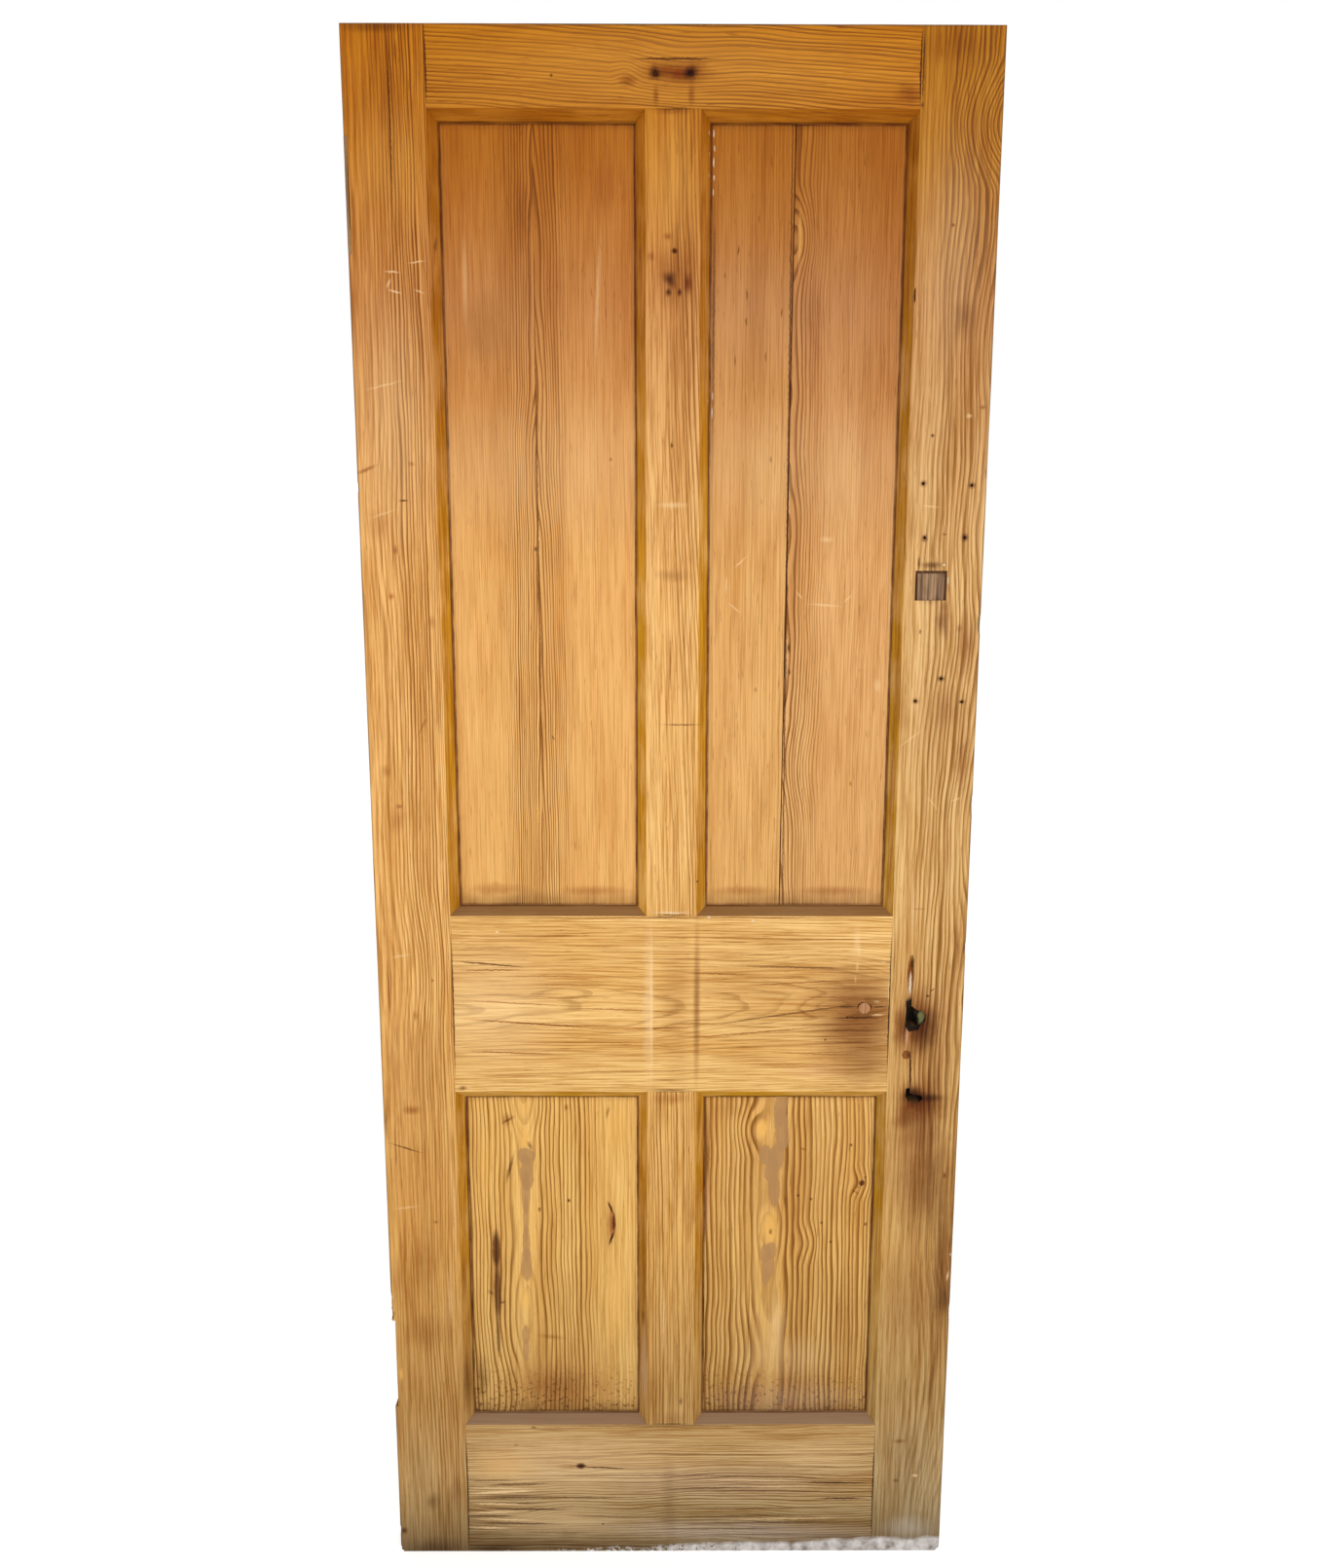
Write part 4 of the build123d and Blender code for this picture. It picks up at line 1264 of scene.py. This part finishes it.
UPPER_RIGHT_OUTER = PineFinish(
    "upper_right_outer_panel_pine",
    Figure(Grain.UPRIGHT, (140.0, 9.0), 600.0, (-3.0, -14.0), 3.1, (150.0, 200.0), (0.9, 0.32),
           waver=2.8, waver_length=120.0, latewood=0.36, seed=11.0,
           bends=(Bend(150.0, 225.0, 26.0, 60.0, -6.0), Bend(160.0, 860.0, 40.0, 70.0, 6.0))),
    tint="#ede3e0", face=PANEL_FRONT, opening=UPPER_RIGHT, fibre=0.5,
    marks=(
        Stain.BARE.soft((210, 490, 130, 110, 0.14), (210, 310, 120, 110, 0.06)),
        Stain.BROWN.soft((210, 1020, 62, 9, 0.5), (170, 330, 14, 90, 0.35), (152, 620, 8, 300, 0.3),
            (210, 230, 130, 250, 0.2)),
        Stain.OLD_POLISH.soft((228, 880, 2.4, 5, 0.6)),
        Stain.VARNISH.soft((210, 95, 150, 130, 0.3)),
        Stain.TAR.soft((146, 708, 2.8, 10, 0.9), (147, 738, 2.4, 6, 0.85)),
        Stain.TAR.firm((141.5, 570, 1.5, 720, 0.8, -0.25)),
        Stain.GOLDEN.soft((150, 225, 4, 46, 0.45), (146, 960, 2.4, 16, 0.5)),
        Stain.BARE.soft((190, 655, 30, 2, 0.45, 4), (158, 643, 9, 1.9, 0.45, 50),
            (218, 647, 10, 1.9, 0.45, -42), (190, 575, 12, 5, 0.35), (258, 755, 6, 12, 0.35)),
    ))

LOWER_LEFT_PANEL = PineFinish(
    "lower_left_panel_pine",
    Figure(Grain.UPRIGHT, (-197.0, 17.0), 1500.0, (4.0, 0.0), 5.2, (-120.0, -92.0), (0.95, 0.4),
           waver=3.4, waver_length=150.0, latewood=0.34, seed=12.0, flame=0.3,
           bends=(Bend(-197.0, 1296.0, 36.0, 84.0, -13.0), Bend(-198.0, 1490.0, 24.0, 110.0, 4.0),
                  Bend(-200.0, 1612.0, 26.0, 60.0, -3.0), Bend(-215.0, 1740.0, 40.0, 90.0, 7.0))),
    tint="#fff6d4", face=PANEL_FRONT, opening=LOWER_LEFT, bleached=0.3, fibre=0.6, specked=0.6,
    marks=(
        Stain.GOLDEN.soft((-250, 1400, 16, 80, 0.35), (-75, 1600, 22, 110, 0.3), (-75, 1350, 24, 60, 0.3)),
        Stain.BROWN.soft((-220, 1335, 13, 12, 0.6), (-140, 1318, 4, 7, 0.8), (-160, 1730, 58, 40, 0.35),
            (-165, 1655, 26, 5, 0.5, 6), (-84, 1490, 10, 46, 0.45), (-160, 1742, 140, 60, 0.5),
            (-238, 1570, 16, 110, 0.5), (-160, 1700, 130, 60, 0.15)),
        Stain.REDDISH.soft((-79.5, 1486, 6, 34, 0.7)),
        Stain.TAR.soft((-247, 1588, 7, 4, 0.6, 40), (-231, 1603, 6, 3, 0.7, -20), (-138, 1452, 3.4, 4, 0.95),
            (-178, 1465, 3.4, 5, 0.8), (-190, 1372, 4, 11, 0.7, -30), (-218, 1336, 15, 3, 0.6, -30),
            (-262, 1720, 12, 50, 0.5), (-85, 1325, 3, 12, 0.6, 10), (-217, 1405, 3.2, 28, 0.75, 15)),
        Stain.TAR.firm((-81.5, 1463, 2, 13, 0.95, -20), (-80.5, 1507, 2, 14, 0.95, 20),
            (-238, 1524, 7.5, 36, 0.86), (-237.5, 1588, 6.5, 54, 0.72), (-238, 1656, 3.6, 40, 0.55),
            (-77.2, 1484, 2.8, 18, 0.88)),
        Stain.GOLDEN.soft((-196, 1362, 8, 20, 0.7), (-200, 1598, 9, 24, 0.6)),
        Stain.FLAME.crisp((-196.5, 1478, 4, 38, 0.75), (-197, 1516, 5.5, 30, 0.75), (-197, 1546, 8, 28, 0.75),
            (-200, 1652, 6, 16, 0.7), (-200, 1674, 4.5, 20, 0.7), (-195, 1388, 12.5, 15, 0.8),
            (-195, 1412, 9.5, 28, 0.8), (-196, 1440, 6.2, 36, 0.8)),
    ))

LOWER_RIGHT_PANEL = PineFinish(
    "lower_right_panel_pine",
    Figure(Grain.UPRIGHT, (134.0, 22.0), 1500.0, (4.0, 0.0), 6.0, (60.0, 280.0), (1.0, 1.0),
           waver=3.6, waver_length=170.0, latewood=0.46, seed=13.0, flame=0.35,
           bends=(Bend(136.0, 1497.0, 30.0, 62.0, -9.0), Bend(186.0, 1515.0, 24.0, 40.0, -7.0),
                  Bend(106.0, 1350.0, 34.0, 46.0, -9.0), Bend(258.0, 1427.0, 24.0, 30.0, -6.0),
                  Bend(120.0, 1680.0, 60.0, 90.0, 6.0))),
    tint="#fffaea", face=PANEL_FRONT, opening=LOWER_RIGHT, bleached=0.15, fibre=0.6, specked=0.6,
    marks=(
        Stain.BARE.soft((146, 1640, 16, 60, 0.3), (160, 1690, 100, 50, 0.15)),
        Stain.PAINT.soft((160, 1748, 140, 34, 0.12)),
        Stain.BROWN.soft((250, 1440, 9, 2, 0.7, 30), (75, 1320, 30, 24, 0.3), (100, 1745, 50, 22, 0.35),
            (240, 1620, 30, 100, 0.15), (160, 1742, 140, 62, 0.4), (150, 1450, 130, 110, 0.14),
            (150, 1400, 130, 120, 0.14)),
        Stain.PURPLE.soft((51, 1380, 2.6, 90, 0.7)),
        Stain.REDDISH.soft((178, 1378, 5, 2.4, 0.8, 30)),
        Stain.OLD_POLISH.soft((136, 1498, 3.4, 7, 0.8)),
        Stain.TAR.soft((242, 1372, 3.4, 3.4, 0.85), (172, 1445, 3.2, 3.6, 0.85), (190, 1450, 3.2, 3.2, 0.8),
            (205, 1485, 3.2, 3.2, 0.8), (265, 1487, 3.4, 3.6, 0.8), (218, 1513, 3.2, 3.2, 0.8),
            (262, 1419, 2.4, 2.6, 0.8), (253, 1433, 2, 2.2, 0.7)),
        Stain.TAR.firm((258, 1427, 5.5, 6, 0.9)),
        Stain.GOLDEN.firm((122, 1348, 8, 17, 0.75), (137, 1494, 12, 30, 0.5)),
        Stain.PINK.soft((50, 1460, 3, 62, 0.6)),
        Stain.FLAME.firm((120, 1640, 4, 26, 0.5), (154, 1645, 4, 30, 0.5)),
        Stain.FLAME.crisp((137, 1526, 8.8, 14, 0.75), (130, 1530, 8.8, 16, 0.75), (134, 1548, 8.8, 22, 0.75),
            (130, 1566, 6, 14, 0.75), (147, 1314, 10, 34, 0.85), (149, 1350, 10.5, 36, 0.85),
            (142, 1388, 11.5, 24, 0.85), (127, 1386, 9, 16, 0.85), (136, 1411, 10.5, 28, 0.85),
            (140, 1438, 8.5, 26, 0.85)),
        Stain.SOOT.soft((136, 1498, 3.2, 6, 0.5)),
    ))


# Chips and gouges of the framing, each with the first seven fields of a Dent.
CHIPS = {
    "hinge_stile": (
        (-381.5, 515, 0.0, 2.6, 8.0, 4.0, 6), (-382.0, 1594, 0.0, 3.4, 16.0, 5.0, 7),
        (-381.0, 1612, 0.0, 4.4, 8.0, 5.0, 8), (-382.0, 1978, 0.0, 5.0, 7.0, 6.0, 9),
        (-382.0, 1946, 0.0, 2.8, 9.0, 4.0, 10), (-326, 530, 0.3, 6.0, 1.0, 1.4, 11)),
    "lock_stile": (
        (381.8, 678, 0.0, 3.6, 15.0, 4.0, 13), (382.0, 905, 0.0, 2.8, 16.0, 4.0, 14),
        (382.0, 1093, 0.0, 2.4, 14.0, 4.0, 15), (382.0, 1610, 0.0, 2.6, 14.0, 4.0, 16),
        (383.0, 1980, 0.0, 7.0, 6.0, 6.0, 17), (286.0, 293, 0.0, 1.0, 9.0, 2.0, 18)),
    "top_rail": ((-20.5, 53, 0.6, 4.0, 4.0, 2.2, 19), (20.5, 52, 0.6, 4.0, 4.0, 2.2, 20)),
    "upper_muntin": ((2, 244, 0.4, 3.0, 2.6, 1.8, 22),),
}


@dataclass
class Framing:
    """The stiles, rails and muntins, with the holes and cracks that years have left."""

    screw_holes: tuple[tuple[float, float], ...] = (
        (304, 509), (363, 511), (308, 573), (357, 573), (335, 745), (304, 773), (362, 774))
    screw_radius: float = 2.6
    screw_depth: float = 9.0

    def build(self) -> list[Piece]:
        """Makes the seven boards.

        Returns:
            The finished pieces.
        """
        screws = tuple(Bore(x, drop, self.screw_radius, self.screw_depth) for x, drop in self.screw_holes)
        boards = (
            ("hinge_stile", HINGE_STILE, (
                Crack(-327, 105, 205, 1.0, 3.0, slant=0.4, seed=3),
                Crack(-351, 1370, 52, 0.9, 1.2, Grain.ACROSS, slant=18, seed=5))),
            ("lock_stile", LOCK_STILE, screws + (
                Crack(314.5, 1263, 62, 1.3, 5.0, slant=-1.5, seed=12),
                Bore(313, 453, 1.2, 5.0), Bore(334, 1158, 1.2, 4.0))),
            ("top_rail", TOP_RAIL, ()),
            ("lock_rail", LOCK_RAIL, (Bore(230, 1187, 1.1, 5.0), Bore(202, 1218, 1.1, 5.0))),
            ("bottom_rail", BOTTOM_RAIL, (
                Bore(-95, 1937, 1.3, 5.0),
                Crack(-95, 1848, 62, 0.8, 2.5, Grain.ACROSS, slant=3, seed=21))),
            ("upper_muntin", UPPER_MUNTIN, (Bore(-1, 465, 1.2, 5.0), Bore(33, 1005, 1.1, 5.0))),
            ("lower_muntin", LOWER_MUNTIN, ()),
        )
        made = []
        for node, finish, cuts in boards:
            slot = "pine_stiles" if node.endswith("stile") else "pine_rails_and_muntins"
            chips = tuple(Dent(*chip) for chip in CHIPS.get(node, ()))
            made.append(Board(node, slot, finish, cuts=cuts + chips).build())
        return made


@dataclass
class Panels:
    """The six loose panel boards in their grooves, and the dust in the right-hand crack."""

    slot: str = "pine_panels"
    arris: float = 0.4
    unevenness: float = 0.3
    crack_line: tuple[float, float] = (139.5, 143.5)
    dust_width: float = 1.9
    dust_depth: float = 7.0
    dust_inset: float = 2.0
    dust_steps: int = 60
    dust_seed: int = 71

    def build(self) -> list[Piece]:
        """Makes the dust and the boards of the four panels.

        Returns:
            The finished pieces.
        """
        finishes = {
            "upper_left_outer_board": UPPER_LEFT_OUTER, "upper_left_inner_board": UPPER_LEFT_INNER,
            "upper_right_inner_board": UPPER_RIGHT_INNER, "upper_right_outer_board": UPPER_RIGHT_OUTER,
            "lower_left_panel": LOWER_LEFT_PANEL, "lower_right_panel": LOWER_RIGHT_PANEL,
        }
        gouges = {
            "lower_left_panel": (Dent(-80, 1486, 0.4, 2.0, 30.0, 1.8, 31, face=PANEL_FRONT),
                                 Crack(-216, 1407, 46, 0.9, 2.0, slant=15, face=PANEL_FRONT, seed=32)),
        }
        made = [self.dusty_crack()]
        for node, finish in finishes.items():
            made.append(Board(node, self.slot, finish, arris=self.arris, unevenness=self.unevenness,
                              cuts=gouges.get(node, ())).build())
        return made

    def dusty_crack(self) -> Piece:
        """Makes the dust packed in the open crack, so that no light comes through it.

        Returns:
            The finished piece.
        """
        low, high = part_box("upper_right_inner_board")
        dust = new_cube()
        dust.name = "upper_right_crack_dust"
        sliced(dust, (2, evenly(-0.5, 0.5, self.dust_steps)))
        chance = random.Random(self.dust_seed)
        foot, head = self.crack_line
        for vertex in dust.data.vertices:
            share = vertex.co.z + 0.5
            inset = self.dust_inset * (1 if 0.0 < share < 1.0 else 2) * MM
            vertex.co = ((foot + (head - foot) * share + vertex.co.x * self.dust_width) * MM,
                         (vertex.co.y * self.dust_depth + chance.uniform(-0.5, 0.5)) * MM,
                         low.z + inset + (high.z - low.z - 2 * inset) * share)
        return dressed(dust, RepairFinish("packed_crack_dust", "#4f2716", "#24100a", 4.0))


REPAIR_TONES = {
    "hinge_recess_slip": ("#9a7244", "#6a4c32"),
    "square_plug": ("#a8835e", "#5e4330"),
    "round_plug": ("#bd8656", "#8f5f38"),
}


@dataclass
class Repairs:
    """The slip in the top hinge recess, the square block and the round plug."""

    slot: str = "old_repair_wood"
    arris: float = 0.5
    pores: float = 2.2
    hole_width: float = 39.0
    hole_height: float = 36.0
    packing_depth: float = 3.5
    ridges: int = 28
    ridge_steps: int = 8
    ridge_depth: float = 1.3
    ridge_seed: int = 41

    def build(self) -> list[Piece]:
        """Makes the three repairs and the packing round the square block.

        Returns:
            The finished pieces.
        """
        made = []
        for node, (pale, dark) in REPAIR_TONES.items():
            piece = copy_of(node, node + "_softwood")
            eased(piece, self.arris)
            if node == "square_plug":
                self.groove(piece)
            finish = RepairFinish(node + "_bare_softwood", pale, dark, self.pores)
            made.append(dressed(piece, finish, node))
        made.append(self.packing())
        return made

    def packing(self) -> Piece:
        """Makes the dirt and old filler that close the gaps beside and above the square block.

        Returns:
            The finished piece.
        """
        low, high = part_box("square_plug")
        middle = (low.x + high.x) / 2
        width, tall = self.hole_width * MM, self.hole_height * MM
        deep = high.y - low.y - 2 * self.packing_depth * MM
        piece = self.filled(width, deep, tall, (middle, 0.0, low.z + tall / 2), fine=True)
        piece.name = "square_plug_gap_packing"
        block = self.filled(high.x - low.x, 100 * MM, high.z - low.z + 10 * MM,
                            (middle, 0.0, (low.z + high.z) / 2 - 5 * MM))
        cut_away(piece, block)
        roughened(piece, "packing_crumbs", 0.004, 0.7, 0.6)
        finish = RepairFinish("crumbling_gap_packing", "#8a5c38", "#4f321e", 3.0)
        return dressed(piece, finish)

    def filled(self, width: float, deep: float, tall: float, centre: tuple[float, float, float],
               fine: bool = False) -> Piece:
        """Makes a block that fills part of the square hole.

        Args:
            width: Size across the leaf, in metres.
            deep: Size through the leaf.
            tall: Size up the leaf.
            centre: Its middle.
            fine: Whether its faces are divided, so that they can crumble.

        Returns:
            The block, with its place in its mesh.
        """
        block = new_cube()
        with edited(block):
            if fine:
                bpy.ops.mesh.subdivide(number_cuts=9)
            bpy.ops.transform.resize(value=(width, deep, tall), center_override=(0.0, 0.0, 0.0))
            bpy.ops.transform.translate(value=centre)
        return block

    def groove(self, piece: Piece) -> None:
        """Splits the square block's faces into the coarse upright ridges of cleft wood.

        Args:
            piece: The block.
        """
        low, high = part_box("square_plug")
        sliced(piece, (0, evenly(low.x, high.x, self.ridges)), (2, evenly(low.z, high.z, self.ridge_steps)))
        chance = random.Random(self.ridge_seed)
        depth = [chance.uniform(0.0, 1.0) * (1.0 if step % 2 else 0.25) for step in range(self.ridges + 1)]
        edge, skin = 1.0 * MM, 0.4 * MM
        for vertex in piece.data.vertices:
            if low.x + edge < vertex.co.x < high.x - edge and abs(vertex.co.y) > high.y - skin:
                share = (vertex.co.x - low.x) / (high.x - low.x) * self.ridges
                inward = self.ridge_depth * depth[round(share)] * (0.8 + 0.4 * chance.random()) * MM
                vertex.co.y -= math.copysign(inward, vertex.co.y)


@dataclass
class HoleShadeFibres:
    """Dark fibres torn out along the grain, which hang and stand in the two lock holes; their near-black is
    painted shade that keeps the holes dark and closes the view through them.

    Each row has a hole's x, the drop of its rim, the step to the next fibre, their count,
    their length and the depth from the front where they stand.
    """

    rows: tuple[tuple[float, float, float, int, float, float], ...] = (
        (310.5, 1183.0, 1.5, 9, 16.0, 24.0), (311.5, 1184.0, 1.6, 8, 15.0, 30.0),
        (309.6, 1202.5, 1.6, 9, -13.0, 28.0), (310.4, 1285.5, 1.5, 5, 13.0, 22.0),
        (310.4, 1292.0, 1.5, 10, 9.0, 28.0), (309.8, 1306.0, 1.5, 12, -10.0, 32.0),
    )
    thickness: float = 1.6
    root: float = 1.5
    seed: int = 61
    # Near-black: painted shade in the lock holes.
    finish: RepairFinish = RepairFinish("shade_black_torn_fibres", "#2c1a0f", "#0e0805", 1.0)

    def build(self) -> list[Piece]:
        """Makes the bundle of fibres.

        Returns:
            The bundle as one finished piece.
        """
        chance = random.Random(self.seed)
        made = []
        for x, drop, step, count, length, depth in self.rows:
            for number in range(count):
                made.append(self.fibre(
                    x + step * number + chance.uniform(-0.2, 0.2), drop, length * chance.uniform(0.75, 1.1),
                    FRONT + depth + chance.uniform(-3.0, 3.0), chance.uniform(-0.04, 0.04)))
        deselect()
        for fibre in made:
            fibre.select_set(True)
        bpy.context.view_layer.objects.active = made[0]
        bpy.ops.object.join()
        bundle = bpy.context.object
        bundle.name = "lock_hole_shade_fibres"
        return [dressed(bundle, self.finish)]

    def fibre(self, x: float, drop: float, length: float, y: float, lean: float) -> Piece:
        """Makes one flat sliver that starts inside the hole's rim and runs along the grain.

        Args:
            x: Place of its root.
            drop: Drop of the rim that it starts from.
            length: How far it reaches down, or up where it is negative.
            y: Place of its root through the thickness.
            lean: Sideways drift for each unit of length.

        Returns:
            The sliver.
        """
        deselect()
        bpy.ops.mesh.primitive_cylinder_add(vertices=6, radius=1.0, depth=1.0)
        sliver = bpy.context.object
        sliced(sliver, (2, (0.1, -0.2)))
        for vertex in sliver.data.vertices:
            along = 0.5 - vertex.co.z
            width = self.thickness * (1.0 - 0.75 * along * along)
            fall = self.root * math.copysign(1.0, length) * (along < 0.01) - length * along
            vertex.co = (x + vertex.co.x * width + lean * length * along,
                         y + vertex.co.y * 0.5 * width + 2.0 * lean * along, height(drop) + fall)
            vertex.co *= MM
        faced_out(sliver)
        return sliver


@dataclass
class Wedges:
    """The wedge ends that show on the two edges, driven above and below each tenon."""

    finish: RepairFinish = RepairFinish("dark_wedge_end_grain", "#8a6238", "#4f361f", 0.9)

    def build(self) -> list[Piece]:
        """Dresses the wedges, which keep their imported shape.

        Returns:
            The wedges.
        """
        material = self.finish.material()
        made = [node for name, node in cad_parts.items() if "_wedge_" in name]
        for wedge in made:
            wedge.data.materials.clear()
            wedge.data.materials.append(material)
        LOG.info("%d wedges dressed", len(made))
        return made


@dataclass(frozen=True)
class Lamp:
    """One soft square lamp: where it stands and what it points at in metres, and its power in watts."""

    name: str
    place: tuple[float, float, float]
    target: tuple[float, float, float]
    size: float
    power: float

    def build(self) -> None:
        """Adds the lamp to the scene."""
        data = bpy.data.lights.new(self.name, "AREA")
        data.size = self.size
        data.energy = self.power
        lamp = bpy.data.objects.new(self.name, data)
        bpy.context.scene.collection.objects.link(lamp)
        lamp.location = self.place
        lamp.rotation_euler = (Vector(self.target) - Vector(self.place)).to_track_quat("-Z", "Y").to_euler()


@dataclass
class Stage:
    """Pale floor, white surroundings, soft studio light and the camera."""

    camera_place: tuple[float, float, float] = (-0.01226, -1.48368, 1.34868)
    camera_turn: tuple[float, float, float] = (80.4686, -0.0736, -0.2047)
    focal_pixels: float = 1208.0
    frame_pixels: float = 1610.0
    sensor: float = 36.0
    floor_half: float = 40.0
    floor_lift: float = 0.5
    ambient: float = 0.58
    lamps: tuple[Lamp, ...] = (
        Lamp("key", (1.5, -3.2, 2.1), (0.0, 0.0, 0.8), 2.6, 60.0),
        Lamp("fill", (-2.4, -2.6, 1.4), (0.0, 0.0, 0.7), 2.4, 23.0),
    )

    def build(self) -> None:
        """Makes the whole stage."""
        self.floor()
        self.world()
        for lamp in self.lamps:
            lamp.build()
        self.camera()

    def floor(self) -> None:
        """Pale floor that shows white to the camera where no shadow falls."""
        deselect()
        bpy.ops.mesh.primitive_plane_add(size=2 * self.floor_half, location=(0.0, 0.0, 0.0))
        floor = bpy.context.object
        floor.name = "studio_floor"
        material = bpy.data.materials.new("pale_studio_floor")
        nodes = NodeTree(material)
        shader = nodes.add("BsdfPrincipled", {"Base Color": linear("#f4f2ee"), "Roughness": 0.9})
        seen = nodes.add("LightPath").outputs["Is Camera Ray"]
        lift = nodes.add("Math", {0: seen, 1: self.floor_lift}, operation="MULTIPLY")
        glow = nodes.add("Emission", {"Color": (1, 1, 1, 1), "Strength": lift})
        nodes.add("OutputMaterial", {"Surface": nodes.add("AddShader", {0: shader, 1: glow})})
        floor.data.materials.append(material)

    def world(self) -> None:
        """Even light all round, and plain white where the camera or a mirror looks at it."""
        world = bpy.context.scene.world or bpy.data.worlds.new("studio")
        bpy.context.scene.world = world
        nodes = NodeTree(world)
        path = nodes.add("LightPath")
        seen = path.outputs["Is Camera Ray"]
        for output in ("Is Glossy Ray", "Is Transmission Ray"):
            seen = nodes.add("Math", {0: seen, 1: path.outputs[output]}, operation="MAXIMUM")
        light = nodes.add("Background", {"Color": (1, 1, 1, 1), "Strength": self.ambient})
        white = nodes.add("Background", {"Color": (1, 1, 1, 1), "Strength": 1.0})
        mixed = nodes.add("MixShader", {0: seen, 1: light, 2: white})
        nodes.add("OutputWorld", {"Surface": mixed})

    def camera(self) -> None:
        """Camera at the photographed viewing angle, fitted to the leaf's outline and rails."""
        data = bpy.data.cameras.new("camera")
        data.sensor_width = self.sensor
        data.lens = self.focal_pixels / self.frame_pixels * self.sensor
        camera = bpy.data.objects.new("camera", data)
        bpy.context.scene.collection.objects.link(camera)
        camera.location = self.camera_place
        camera.rotation_euler = [math.radians(angle) for angle in self.camera_turn]
        bpy.context.scene.camera = camera


def main() -> None:
    """Builds the leaf and the stage in order, and reports each piece."""
    logging.basicConfig(level=logging.INFO, format="%(name)s: %(message)s")
    bpy.context.scene.view_settings.view_transform = "Standard"
    for part in (Framing(), Panels(), Repairs(), HoleShadeFibres(), Wedges()):
        made = part.build()
        LOG.info("%s: %d pieces", type(part).__name__, len(made))
    Stage().build()


if __name__ == "__main__":
    main()
